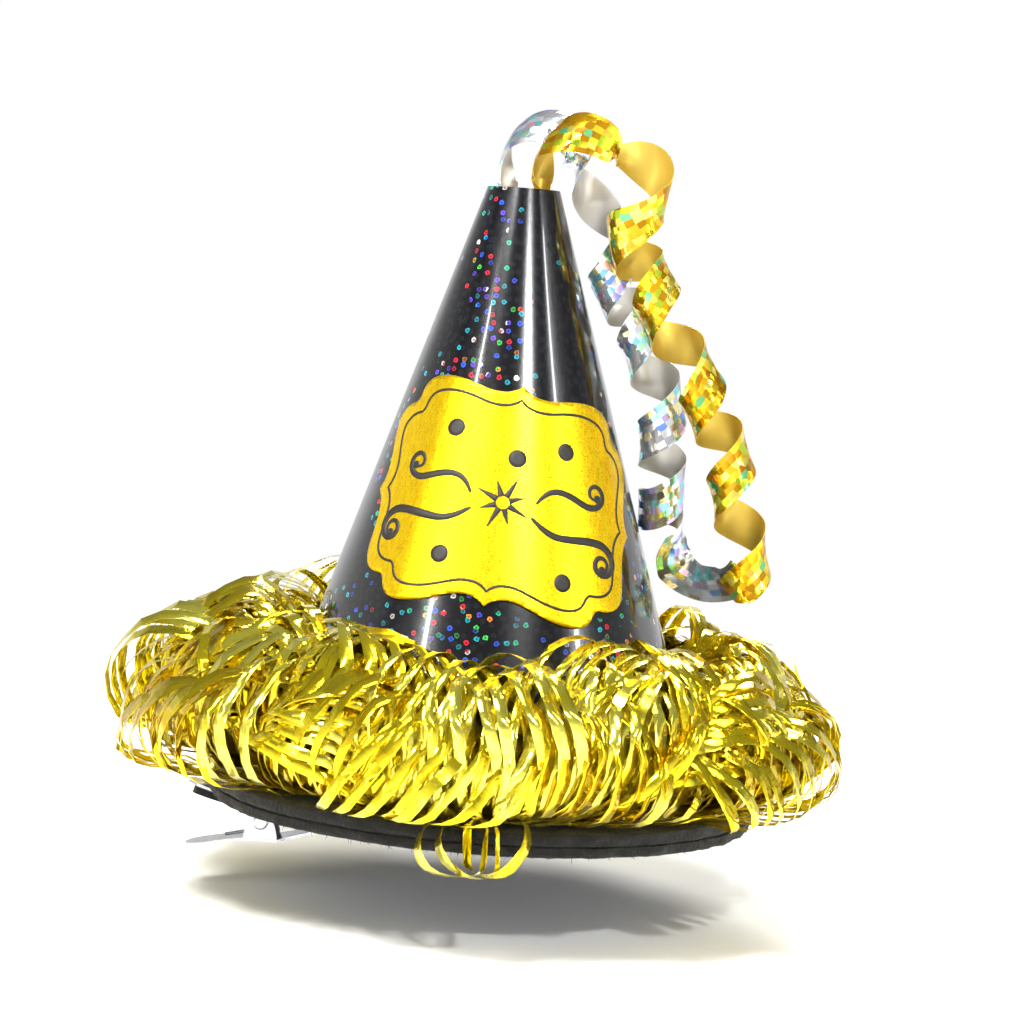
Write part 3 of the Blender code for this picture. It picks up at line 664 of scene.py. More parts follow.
@dataclass
class Cone:
    """The rolled card cone, with the soft flutes that rolling leaves in it."""

    low: float
    height: float
    base_radius: float = 0.0535
    tip_radius: float = 0.0086
    wall: float = 0.0005
    lap_degrees: float = 15.0
    lap_ramp_degrees: float = 10.0
    # The sharper folds: azimuth and half width in radians, and depth as a share of the flutes'.
    folds: tuple = ((-0.62, 0.085, 0.5), (0.95, 0.10, 0.45), (0.2, 0.14, -0.25), (-1.5, 0.1, 0.4))
    columns: int = 480
    rows: int = 48

    @property
    def slope(self) -> float:
        """How much the radius grows for each metre down."""
        return (self.base_radius - self.tip_radius) / self.height

    @property
    def half_angle(self) -> float:
        """The angle between the axis and the card, in radians."""
        return math.atan(self.slope)

    @property
    def apex(self) -> float:
        """The height at which the card's lines would meet."""
        return self.low + self.base_radius / self.slope

    def radius(self, z: float) -> float:
        """The true cone's radius at a height."""
        return self.base_radius - self.slope * (z - self.low)

    def flute(self, azimuth: float, z: float) -> float:
        """How far the card stands out from a true cone.

        Args:
            azimuth: The angle round the axis, 0 towards the viewer.
            z: The height.

        Returns:
            The distance in metres.
        """
        down = 1 - (z - self.low) / self.height
        waves = 0.34 * math.cos(5 * azimuth + 0.9) + 0.26 * math.cos(8 * azimuth - 1.1)
        waves += 0.12 * math.cos(13 * azimuth + 2.0)
        for at, width, depth in self.folds:
            away = (azimuth - at + math.pi) % (2 * math.pi) - math.pi
            waves += depth * math.exp(-((away / width) ** 2))
        dents = noise.noise(Vector((math.sin(azimuth) * 2.2, math.cos(azimuth) * 2.2, z * 26)))
        return 0.6 * MM * ((0.25 + 0.75 * down) * waves + 0.4 * down * dents)

    def point(self, azimuth: float, z: float, out: float = 0.0) -> Vector:
        """A point on the fluted card.

        Args:
            azimuth: The angle round the axis, 0 towards the viewer and growing to the right.
            z: The height.
            out: How far it stands off the card.

        Returns:
            The point.
        """
        radius = self.radius(z) + self.flute(azimuth, z) + out * math.cos(self.half_angle)
        height = z + out * math.sin(self.half_angle)
        return Vector((radius * math.sin(azimuth), -radius * math.cos(azimuth), height))

    def flat(self, azimuth: float, z: float) -> tuple[float, float]:
        """Where a point of the cone lies on the sheet before it is rolled."""
        slant = (self.apex - z) / math.cos(self.half_angle)
        spread = azimuth * math.sin(self.half_angle)
        return slant * math.sin(spread), slant * math.cos(spread)

    def build(self, finishes: Finishes) -> bpy.types.Object:
        """Builds the rolled sheet, its last stretch stepping out over its first at the back.

        Args:
            finishes: The hat's materials.

        Returns:
            The card as one piece.
        """
        start = -math.pi - math.radians(self.lap_degrees / 2)
        turn = math.radians(360 + self.lap_degrees)
        grid, sheet = [], []
        for i in range(self.columns + 1):
            gone = turn * i / self.columns
            azimuth = start + gone
            over = ramp((math.degrees(gone) - 360 + self.lap_ramp_degrees) / self.lap_ramp_degrees)
            out = (self.wall + FIT_GAP) * over
            heights = [self.low + self.height * k / self.rows for k in range(self.rows + 1)]
            grid.append([self.point(azimuth, z, out) for z in heights])
            sheet.append([self.flat(azimuth, z) for z in heights])
        mesh = solid_sheet("rolled_card", grid, self.wall, sheet)
        card = link("rolled_card", mesh, finishes.card, finishes.card_back)
        outward_check(card)
        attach(card, Body.HAT.value)
        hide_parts("cone_card")
        return card


def outward_check(made: bpy.types.Object) -> None:
    """Turns a closed mesh's faces round if its volume is negative."""
    mesh = made.data
    mesh.calc_loop_triangles()
    points = np.zeros(len(mesh.vertices) * 3)
    mesh.vertices.foreach_get("co", points)
    corners = np.zeros(len(mesh.loop_triangles) * 3, np.int32)
    mesh.loop_triangles.foreach_get("vertices", corners)
    a, b, c = points.reshape(-1, 3)[corners].reshape(-1, 3, 3).transpose(1, 0, 2)
    if np.einsum("ij,ij->i", a, np.cross(b, c)).sum() < 0:
        mesh.flip_normals()


# --------------------------------------------------------------------------------- the plaque


@dataclass
class Plaque:
    """The foil plaque on the cone's front, with its printed line, dots and ornament."""

    cone: Cone
    half_width: float = 0.0349
    half_height: float = 0.0270
    slant: float = 0.1029
    azimuth: float = 1.3
    turn: float = -6.4
    thickness: float = 0.0003
    print_height: float = 0.00006
    strips: int = 60
    bands: int = 44
    dot_sides: int = 28

    def wrap(self, x: float, y: float, out: float) -> Vector:
        """A point of the flat plaque, wrapped on the fluted card.

        Args:
            x: Across the plaque.
            y: Up the plaque.
            out: How far it stands off the card.

        Returns:
            The point.
        """
        turn = math.radians(self.turn)
        across = x * math.cos(turn) - y * math.sin(turn)
        up = x * math.sin(turn) + y * math.cos(turn)
        slant = math.hypot(across, self.slant - up)
        azimuth = math.atan2(across, self.slant - up) / math.sin(self.cone.half_angle)
        azimuth += math.radians(self.azimuth)
        return self.cone.point(azimuth, self.cone.apex - slant * math.cos(self.cone.half_angle), out)

    def mirrored(self, quarter: list[Vector]) -> list[Vector]:
        """Repeats the outline's upper right quarter in the other three."""
        lower_right = [Vector((p.x, -p.y)) for p in reversed(quarter[:-1])]
        right = quarter + lower_right
        return right + [Vector((-p.x, p.y)) for p in reversed(right[1:-1])]

    def outline(self, inset: float = 0.0) -> list[Vector]:
        """The plaque's outline: one quarter as Bezier arcs, mirrored to the other three.

        Args:
            inset: How far inside the plaque's edge the line runs.

        Returns:
            The outline's points in order.
        """
        arcs = (((0.000, 0.975), (0.055, 0.890), (0.145, 0.875), (0.250, 0.912)),
            ((0.250, 0.912), (0.345, 0.950), (0.445, 1.000), (0.550, 1.000)),
            ((0.550, 1.000), (0.650, 1.000), (0.722, 0.960), (0.742, 0.862)),
            ((0.742, 0.862), (0.750, 0.815), (0.765, 0.790), (0.785, 0.775)),
            ((0.785, 0.775), (0.885, 0.765), (0.957, 0.705), (0.963, 0.578)),
            ((0.963, 0.578), (0.966, 0.445), (0.925, 0.300), (0.940, 0.170)),
            ((0.940, 0.170), (0.948, 0.110), (0.965, 0.050), (1.000, 0.000)))
        width = self.half_width - inset
        height = self.half_height - inset
        quarter = []
        for arc in arcs:
            corners = [Vector((x * width, y * height)) for x, y in arc]
            quarter += list(interpolate_bezier(*corners, 9))[:-1]
        quarter.append(Vector((width, 0)))
        return self.mirrored(quarter)

    def build_foil(self, finishes: Finishes) -> bpy.types.Object:
        """Builds the foil from its flat outline, cut into strips that can bend, then wrapped."""
        bm = bmesh.new()
        bm.faces.new([bm.verts.new((p.x, p.y, 0)) for p in self.outline()])
        cuts = [((i / self.strips * 2 - 1) * self.half_width, (1, 0, 0)) for i in range(1, self.strips)]
        cuts += [((i / self.bands * 2 - 1) * self.half_height, (0, 1, 0)) for i in range(1, self.bands)]
        for along, normal in cuts:
            everything = bm.verts[:] + bm.edges[:] + bm.faces[:]
            at = Vector(normal) * along
            bmesh.ops.bisect_plane(bm, geom=everything, plane_co=at, plane_no=normal, dist=0.00001)
        bmesh.ops.triangulate(bm, faces=[f for f in bm.faces if len(f.verts) > 4])
        for vert in bm.verts:
            vert.co = self.wrap(vert.co.x, vert.co.y, FIT_GAP)
        return self.thicken(bm, "gold_plaque", self.thickness, finishes.plaque)

    def thicken(self, bm: bmesh.types.BMesh, name: str, thickness: float,
            material: bpy.types.Material) -> bpy.types.Object:
        """Gives wrapped faces their thickness, outwards.

        Args:
            bm: The open faces, which are freed.
            name: The piece's name.
            thickness: How thick it gets.
            material: Its material.

        Returns:
            The closed piece.
        """
        bmesh.ops.recalc_face_normals(bm, faces=bm.faces)
        if sum(face.normal.y for face in bm.faces) > 0:
            bmesh.ops.reverse_faces(bm, faces=bm.faces)
        mesh = bpy.data.meshes.new(name)
        bm.to_mesh(mesh)
        bm.free()
        mesh.shade_smooth()
        made = link(name, mesh, material)
        wall = made.modifiers.new("Wall", "SOLIDIFY")
        wall.thickness = thickness
        wall.offset = 1
        return baked(made)

    def stroke(self, bm: bmesh.types.BMesh, line: list[Vector], widths: list[float],
            closed: bool = False) -> None:
        """Lays one printed stroke on the foil.

        Args:
            bm: Gets the stroke's faces.
            line: The stroke's middle, flat.
            widths: Its width at each point.
            closed: Whether it runs back to its start.
        """
        count = len(line)
        pairs = []
        for i, point in enumerate(line):
            before = line[(i - 1) % count] if closed else line[max(i - 1, 0)]
            after = line[(i + 1) % count] if closed else line[min(i + 1, count - 1)]
            way = (after - before).normalized()
            side = Vector((-way.y, way.x)) * widths[i] / 2
            ends = [point + side, point - side]
            pairs.append([bm.verts.new(self.wrap(e.x, e.y, self.print_low)) for e in ends])
        for i in range(count if closed else count - 1):
            (a, b), (c, d) = pairs[i], pairs[(i + 1) % count]
            bm.faces.new((a, b, d, c))

    @property
    def print_low(self) -> float:
        """How far the print's underside stands off the card."""
        return FIT_GAP + self.thickness + 0.00001

    def dot(self, bm: bmesh.types.BMesh, x: float, y: float, radius: float) -> None:
        """Lays one printed round dot on the foil.

        Args:
            bm: Gets the dot's faces.
            x: Across the plaque.
            y: Up the plaque.
            radius: The dot's radius.
        """
        rings = []
        for share in (0.5, 1.0):
            angles = [math.tau * i / self.dot_sides for i in range(self.dot_sides)]
            spots = [(x + radius * share * math.cos(a), y + radius * share * math.sin(a)) for a in angles]
            rings.append([bm.verts.new(self.wrap(px, py, self.print_low)) for px, py in spots])
        bm.faces.new(rings[0])
        for i in range(self.dot_sides):
            j = (i + 1) % self.dot_sides
            bm.faces.new((rings[0][i], rings[0][j], rings[1][j], rings[1][i]))

    def flourish(self, bm: bmesh.types.BMesh, start: Vector, aim: float, bends: Sequence[tuple],
            width: float) -> None:
        """Lays a pen flourish and its mirror image: a run of arcs that swells and thins.

        Args:
            bm: Gets the faces.
            start: Where the pen starts, on the right half.
            aim: The direction it starts in, in degrees.
            bends: Each arc as its length in metres and its curvature at its start and end, per metre.
            width: The stroke's width at its fullest.
        """
        line = [start]
        heading = math.radians(aim)
        step = 0.00045
        for length, first, last in bends:
            count = round(length / step)
            for i in range(count):
                heading += step * (first + (last - first) * (i + 0.5) / count)
                line.append(line[-1] + Vector((math.cos(heading), math.sin(heading))) * step)
        count = len(line) - 1
        swell = [math.sin(math.pi * (i / count) ** 0.8) ** 0.8 for i in range(count + 1)]
        widths = [width * (0.28 + 0.72 * share) for share in swell]
        self.stroke(bm, line, widths)
        self.stroke(bm, [Vector((-p.x, p.y)) for p in line], widths)
        end = line[-1]
        for side in (-1, 1):
            self.dot(bm, side * end.x, end.y, width * 0.62)

    def build_print(self, finishes: Finishes) -> bpy.types.Object:
        """Builds the inner line, the dots and a symmetrical pen ornament as one printed layer."""
        bm = bmesh.new()
        line = self.outline(inset=0.0036)
        self.stroke(bm, line, [0.00062] * len(line), closed=True)
        for x, y in ((-13.8, 14.4), (1.5, 9.0), (12.6, 13.4), (-12.3, -15.6), (17.0, -17.2)):
            self.dot(bm, x * MM, y * MM, 2.1 * MM)
        # A burst of eight rays in the middle.
        for i in range(8):
            angle = math.tau * i / 8 + math.pi / 8
            way = Vector((math.cos(angle), math.sin(angle)))
            reach = 6.6 * MM if i % 2 else 5.2 * MM
            heart = Vector((0, -1.8 * MM))
            points = [heart + way * (1.5 * MM + (reach - 1.5 * MM) * k / 8) for k in range(9)]
            self.stroke(bm, points, [1.5 * MM * (1 - 0.84 * k / 8) for k in range(9)])
        # Two scrolls on each side, one over the other.
        self.flourish(bm, Vector((7.0 * MM, -4.0 * MM)), -38, ((0.0085, 20, 150), (0.0100, 60, -60),
            (0.0085, -140, -330), (0.0140, -330, -700)), 1.9 * MM)
        self.flourish(bm, Vector((7.6 * MM, -0.6 * MM)), 64, ((0.0060, -40, -240), (0.0080, -180, 60),
            (0.0075, 160, 400), (0.0085, 420, 740)), 1.6 * MM)
        return self.thicken(bm, "plaque_print", self.print_height, finishes.ink)

    def build(self, finishes: Finishes) -> list[bpy.types.Object]:
        """Builds the plaque and its print.

        Args:
            finishes: The hat's materials.

        Returns:
            The foil and the print.
        """
        foil, ink = self.build_foil(finishes), self.build_print(finishes)
        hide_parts("label_plaque")
        for made in (foil, ink):
            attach(made, Body.HAT.value)
        return [foil, ink]


# --------------------------------------------------------------------------------- the fringe


@dataclass(frozen=True)
class LoopShape:
    """One way that a strip of film can loop back to its root, on a unit scale."""

    sag: float
    twist: float
    skew: float
    pinch: float
    segments: int = 22

    def build(self, name: str) -> bpy.types.Object:
        """Builds the loop: x runs out from the root, z opens the loop and y is across the strip.

        Args:
            name: The object's name.

        Returns:
            The loop as a closed thin band.
        """
        rows, free = [], []
        samples = np.linspace(0.015, 0.985, self.segments + 1)
        middle = np.array([self.middle(t) for t in samples])
        way = np.gradient(middle, axis=0)
        way /= np.linalg.norm(way, axis=1, keepdims=True)
        for t, centre, forward in zip(samples, middle, way):
            facing = Vector((-forward[2], 0, forward[0]))
            angle = self.twist * math.sin(math.tau * t) + 0.4 * self.twist
            # In the loop's plane one unit is about twelve strip widths.
            across = Vector((0, math.cos(angle), 0)) + facing * math.sin(angle) / 12
            thick = facing * math.cos(angle) * 0.0022 - Vector((0, math.sin(angle) * 0.03, 0))
            centre = Vector(centre)
            corners = ((-0.5, 0.5), (0.5, 0.5), (0.5, -0.5), (-0.5, -0.5))
            rows.append([centre + across * a + thick * b for a, b in corners])
            free.append(math.sin(math.pi * t))
        points = [point for row in rows for point in row]
        faces = []
        for i in range(len(rows) - 1):
            for k in range(4):
                a, b = i * 4 + k, i * 4 + (k + 1) % 4
                faces.append((a, b, b + 4, a + 4))
        last = 4 * (len(rows) - 1)
        faces += [(3, 2, 1, 0), (last, last + 1, last + 2, last + 3)]
        bm = bmesh.new()
        corners = [bm.verts.new(point) for point in points]
        for face in faces:
            bm.faces.new([corners[i] for i in face])
        mesh = from_bmesh(bm, name, 60)
        loose = mesh.attributes.new("free", "FLOAT", "POINT")
        loose.data.foreach_set("value", [share for share in free for _ in range(4)])
        strip = mesh.attributes.new("strip", "FLOAT_VECTOR", "POINT")
        along = [(i / self.segments * 0.09, 0.0, 0.0) for i in range(self.segments + 1) for _ in range(4)]
        strip.data.foreach_set("vector", np.array(along).ravel())
        return link(name, mesh)

    def middle(self, t: float) -> tuple[float, float, float]:
        """The loop's middle line at a share t of its length."""
        reach = math.sin(math.pi * t) ** 2
        opening = 0.5 * math.sin(math.tau * t) * math.sin(math.pi * t) ** self.pinch
        return reach, self.skew * (t - 0.5), opening + 0.12 * reach - self.sag * reach * reach


@dataclass
class Fringe:
    """The ring of film loops round the cone's foot, one piece for each bunch in the frame."""

    cone: Cone
    disc_radius: float
    disc_top: float
    rim_lift: float = RIM_LIFT
    strip_width: float = 2.5 * MM
    tufts: int = 12
    sprays: int = 8
    loops: int = 8
    seed: int = 31
    heading_height: float = 0.0065
    heading_out: float = 0.0026
    shape_count: int = 8
    root_radius: float = 0.056  # the loops' roots lie about this far from the axis
    crumple: float = 0.0032
    crumple_size: float = 0.014
    squeeze: float = 0.0052
    felt_gap: float = 0.0006
    card_gap: float = 0.0016
    rim_droop: float = -0.0050
    lifted: tuple = (5, 6)  # the bunches over the disc's bent-up rim
    # The lowest point of each bunch outside the disc, anticlockwise from the right.
    droops: tuple = (0.0080, 0.0080, 0.0080, 0.0080, 0.0080, 0.0115, 0.0125, 0.0085, 0.0080, 0.0080, 0.0075,
        0.0075)
    # How much longer the loops are in each bunch.
    reaches: tuple = (0.88, 0.92, 0.92, 0.92, 1.0, 1.02, 1.04, 1.0, 0.94, 0.94, 0.92, 0.9)

    def shapes(self) -> list[bpy.types.Object]:
        """Builds the loops that the sprays choose from."""
        chance = random.Random(self.seed)
        made = []
        for i in range(self.shape_count):
            shape = LoopShape(sag=chance.uniform(0.0, 0.3), twist=chance.uniform(-0.4, 0.4),
                skew=chance.uniform(-2.0, 2.0), pinch=chance.uniform(0.12, 0.6))
            made.append(shape.build(f"loop_shape_{i}"))
        return made

    def spray_points(self, index: int) -> bpy.types.Mesh:
        """Places the loops of one bunch, in sprays of near-parallel neighbours.

        Args:
            index: Which bunch, anticlockwise from the right.

        Returns:
            A mesh of points that carry each loop's turn, size, shape and tone.
        """
        chance = random.Random(self.seed * 100 + index)
        pitch = math.tau / self.tufts
        places, turns, sizes, kinds, tones = [], [], [], [], []
        for spray in range(self.sprays):
            level = (spray + 0.5) / self.sprays
            azimuth = pitch * (index + chance.uniform(0.04, 0.96))
            climb = math.radians(22 + 50 * level + chance.uniform(-7, 7))
            if chance.random() < 0.4:
                yaw = math.radians(chance.gauss(0, 14))
            else:
                yaw = math.radians(chance.uniform(24, 68) * chance.choice((-1, 1)))
            laid = chance.random() < 0.34
            if laid:
                roll = math.radians(chance.uniform(48, 78) * chance.choice((-1, 1)))
            else:
                roll = math.radians(chance.gauss(0, 24))
            length = (0.032 + 0.008 * chance.random()) * self.reaches[index]
            girth = length * chance.uniform(0.8, 1.05)
            kind = chance.randrange(self.shape_count)
            tone = chance.random()
            way = chance.choice((-1, 1))
            fan = math.radians(chance.uniform(1.2, 3.6)) * way
            drift = math.radians(chance.uniform(3.0, 4.8) if laid else chance.uniform(-1.6, 2.6))
            spread = 0.3 if laid else 1.0
            for loop in range(self.loops):
                step = loop - self.loops / 2
                at = azimuth + (
                    step * way * spread * self.strip_width / self.root_radius * chance.uniform(0.9, 1.1)
                )
                z = self.cone.low + self.heading_height * (0.25 + 0.65 * level)
                z += chance.uniform(-0.4, 0.4) * MM
                radius = self.cone.radius(z) + self.heading_out
                places.append((radius * math.cos(at), radius * math.sin(at), z))
                turns.append((roll + step * drift * 0.5 + chance.gauss(0, 0.04),
                    -climb - step * drift + chance.gauss(0, 0.03), at + yaw + step * fan
                    + chance.gauss(0, 0.03)))
                grown = length * (1 + 0.018 * step + chance.gauss(0, 0.022))
                wide = self.strip_width * chance.uniform(0.9, 1.1)
                sizes.append((grown, wide, girth * chance.uniform(0.9, 1.1)))
                kinds.append(kind if chance.random() < 0.86 else chance.randrange(self.shape_count))
                tones.append(min(max(tone + chance.gauss(0, 0.12), 0.0), 1.0))
        return self.point_mesh(f"spray_points_{index}", places, turns, sizes, kinds, tones)

    def rim_points(self) -> bpy.types.Mesh:
        """Places the few short loops that hang over the disc's front rim."""
        places, turns, sizes, kinds, tones = [], [], [], [], []
        for at, fall, yaw, roll, length, kind in ((-93.5, 42, 4, 66, 0.0200, 0),
                (-91.0, 40, 2, 62, 0.0195, 3), (-85.5, 36, -10, -58, 0.0190, 2)):
            angle = math.radians(at)
            radius = self.disc_radius - 0.004
            places.append((radius * math.cos(angle), radius * math.sin(angle), self.disc_top + 0.0030))
            turns.append((math.radians(roll), math.radians(fall), angle + math.radians(yaw)))
            sizes.append((length, self.strip_width * 1.05, length * 0.95))
            kinds.append(kind)
            tones.append(0.6)
        return self.point_mesh("rim_points", places, turns, sizes, kinds, tones)

    def point_mesh(self, title: str, places: list, turns: list, sizes: list, kinds: list,
            tones: list) -> bpy.types.Mesh:
        """Makes a mesh of points that carry each loop's turn, size, shape and tone.

        Args:
            title: The mesh's name.
            places: Each loop's root.
            turns: Its rotation in radians.
            sizes: Its scale along, across and through the loop.
            kinds: Which loop shape it has.
            tones: Its share of the film's range of tone.

        Returns:
            The mesh of points.
        """
        mesh = bpy.data.meshes.new(title)
        mesh.from_pydata(places, [], [])
        for name, kind_name, prop, values in (("turn", "FLOAT_VECTOR", "vector", turns),
                ("size", "FLOAT_VECTOR", "vector", sizes), ("kind", "INT", "value", kinds),
                ("tone", "FLOAT", "value", tones)):
            attribute = mesh.attributes.new(name, kind_name, "POINT")
            attribute.data.foreach_set(prop, np.array(values).ravel())
        return mesh

    def tree(self) -> bpy.types.NodeTree:
        """Builds the node tree that turns points into crumpled loops resting clear of disc and cone."""
        tree = node_group("film_loop_fringe", {"Loop Shapes": "Collection", "Crumple": "Float",
            "Crumple Size": "Float", "Disc Radius": "Float", "Disc Top": "Float", "Droop": "Float",
            "Squeeze": "Float", "Cone Foot": "Float", "Cone Slope": "Float", "Film": "Material"})
        given = add_node(tree, "NodeGroupInput").outputs
        turn = add_node(tree, "GeometryNodeInputNamedAttribute", {"Name": "turn"}, data_type="FLOAT_VECTOR")
        size = add_node(tree, "GeometryNodeInputNamedAttribute", {"Name": "size"}, data_type="FLOAT_VECTOR")
        kind = add_node(tree, "GeometryNodeInputNamedAttribute", {"Name": "kind"}, data_type="INT")
        free = add_node(tree, "GeometryNodeInputNamedAttribute", {"Name": "free"}, data_type="FLOAT")
        shapes = add_node(tree, "GeometryNodeCollectionInfo", {"Collection": given["Loop Shapes"],
            "Separate Children": True, "Reset Children": True})
        spin = add_node(tree, "FunctionNodeEulerToRotation", {0: turn})
        loops = add_node(tree, "GeometryNodeInstanceOnPoints", {"Points": given["Geometry"],
            "Instance": shapes, "Pick Instance": True, "Instance Index": kind, "Rotation": spin,
            "Scale": size})
        real = add_node(tree, "GeometryNodeRealizeInstances", {0: loops})
        # Crumple: a drift that grows from each loop's root.
        place = add_node(tree, "GeometryNodeInputPosition")
        fineness = add_node(tree, "ShaderNodeMath", {0: 1.0, 1: given["Crumple Size"]}, operation="DIVIDE")
        waves = add_node(tree, "ShaderNodeTexNoise", {"Vector": place, "Scale": fineness, "Detail": 1.0})
        centred = add_node(tree, "ShaderNodeVectorMath", {0: waves.outputs[1], 1: (0.5, 0.5, 0.5)},
            operation="SUBTRACT")
        amount = add_node(tree, "ShaderNodeMath", {0: free, 1: given["Crumple"]}, operation="MULTIPLY")
        drift = add_node(tree, "ShaderNodeVectorMath", {0: centred, "Scale": amount}, operation="SCALE")
        crumpled = add_node(tree, "GeometryNodeSetPosition", {0: real, "Offset": drift})
        # The floor under a loop: the felt's top inside the rim, and the bunch's droop outside it.
        where = add_node(tree, "ShaderNodeSeparateXYZ", {0: add_node(tree, "GeometryNodeInputPosition")})
        flat = add_node(tree, "ShaderNodeCombineXYZ", {0: where.outputs[0], 1: where.outputs[1]})
        radius = add_node(tree, "ShaderNodeVectorMath", {0: flat}, operation="LENGTH").outputs["Value"]
        edge = add_node(tree, "ShaderNodeMath", {0: given["Disc Radius"], 1: 0.0012}, operation="ADD")
        past = add_node(tree, "ShaderNodeMath", {0: given["Disc Radius"], 1: 0.0040}, operation="ADD")
        floor = add_node(tree, "ShaderNodeMapRange", {"Value": radius, "From Min": edge, "From Max": past,
            "To Min": given["Disc Top"], "To Max": given["Droop"]})
        # Below a few millimetres over that floor, heights are squeezed rather than cut off.
        start = add_node(tree, "ShaderNodeMath", {0: floor, 1: given["Squeeze"]}, operation="ADD")
        over = add_node(tree, "ShaderNodeMath", {0: where.outputs[2], 1: start}, operation="SUBTRACT")
        above = add_node(tree, "ShaderNodeMath", {0: over, 1: 0.0}, operation="MAXIMUM")
        below = add_node(tree, "ShaderNodeMath", {0: over, 1: 0.0}, operation="MINIMUM")
        depth = add_node(tree, "ShaderNodeMath", {0: below, 1: given["Squeeze"]}, operation="DIVIDE")
        left = add_node(tree, "ShaderNodeMath", {0: depth}, operation="EXPONENT")
        rest = add_node(tree, "ShaderNodeMath", {0: left, 1: given["Squeeze"], 2: floor},
            operation="MULTIPLY_ADD")
        height = add_node(tree, "ShaderNodeMath", {0: rest, 1: above}, operation="ADD")
        # The card: nothing passes inside it.
        thinner = add_node(tree, "ShaderNodeMath", {0: height, 1: given["Cone Slope"]}, operation="MULTIPLY")
        card = add_node(tree, "ShaderNodeMath", {0: given["Cone Foot"], 1: thinner}, operation="SUBTRACT")
        share = add_node(tree, "ShaderNodeMath", {0: card, 1: radius}, operation="DIVIDE")
        outward = add_node(tree, "ShaderNodeMath", {0: share, 1: 1.0}, operation="MAXIMUM")
        pushed = add_node(tree, "ShaderNodeVectorMath", {0: flat, "Scale": outward}, operation="SCALE")
        level = add_node(tree, "ShaderNodeCombineXYZ", {2: height})
        final = add_node(tree, "ShaderNodeVectorMath", {0: pushed, 1: level}, operation="ADD")
        clear = add_node(tree, "GeometryNodeSetPosition", {0: crumpled, "Position": final})
        filmed = add_node(tree, "GeometryNodeSetMaterial", {0: clear, "Material": given["Film"]})
        add_node(tree, "NodeGroupOutput", {0: filmed})
        return tree

    def build(self, finishes: Finishes) -> list[bpy.types.Object]:
        """Builds every bunch and the heading they are sewn to.

        Args:
            finishes: The hat's materials.

        Returns:
            The bunches and the heading.
        """
        shapes = self.shapes()
        store = bpy.data.collections.new("loop_shapes")
        for shape in shapes:
            bpy.context.scene.collection.objects.unlink(shape)
            store.objects.link(shape)
        tree = self.tree()
        jobs = []
        for i in range(self.tufts):
            jobs.append((f"loop_bunch_{i + 1:02d}", self.spray_points(i), i, self.droops[i]))
        jobs.append(("loops_over_the_rim", self.rim_points(), 8, self.rim_droop))
        made = []
        for title, points, index, droop in jobs:
            bunch = link(title, points)
            lift = self.rim_lift if index in self.lifted else 0.0
            values = {"Loop Shapes": store, "Crumple": self.crumple, "Crumple Size": self.crumple_size,
                "Disc Radius": self.disc_radius, "Disc Top": self.disc_top + self.felt_gap + lift,
                "Droop": droop, "Squeeze": self.squeeze, "Cone Foot": self.cone.radius(0) + self.card_gap,
                "Cone Slope": self.cone.slope, "Film": finishes.fringe}
            made.append(run_group(bunch, tree, values))
            if title.startswith("loop_bunch"):
                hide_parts(f"fringe_tuft_{index + 1:02d}")
        for shape in shapes:
            bpy.data.objects.remove(shape)
        bpy.data.collections.remove(store)
        made.append(self.build_heading(finishes))
        for piece in made:
            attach(piece, Body.HAT.value)
        return made

    def build_heading(self, finishes: Finishes) -> bpy.types.Object:
        """Builds the folded heading tape, gathered into small pleats."""
        rows, steps = [], 480
        for i in range(steps):
            azimuth = math.tau * i / steps
            row = []
            for k in range(7):
                share = k / 6
                z = self.cone.low + 0.0004 + self.heading_height * share
                pleat = 0.25 * MM * math.sin(46 * azimuth + 2 * share) * (1 - 0.5 * share)
                row.append(self.cone.point(azimuth, z, 0.0021 + pleat))
            rows.append(row)
        mesh = solid_sheet("fringe_heading_tape", rows, 0.0006, closed=True)
        heading = link("fringe_heading_tape", mesh, finishes.fringe, finishes.fringe)
        outward_check(heading)
        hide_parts("fringe_heading")
        return heading


# ------------------------------------------------------------------------------ the streamers


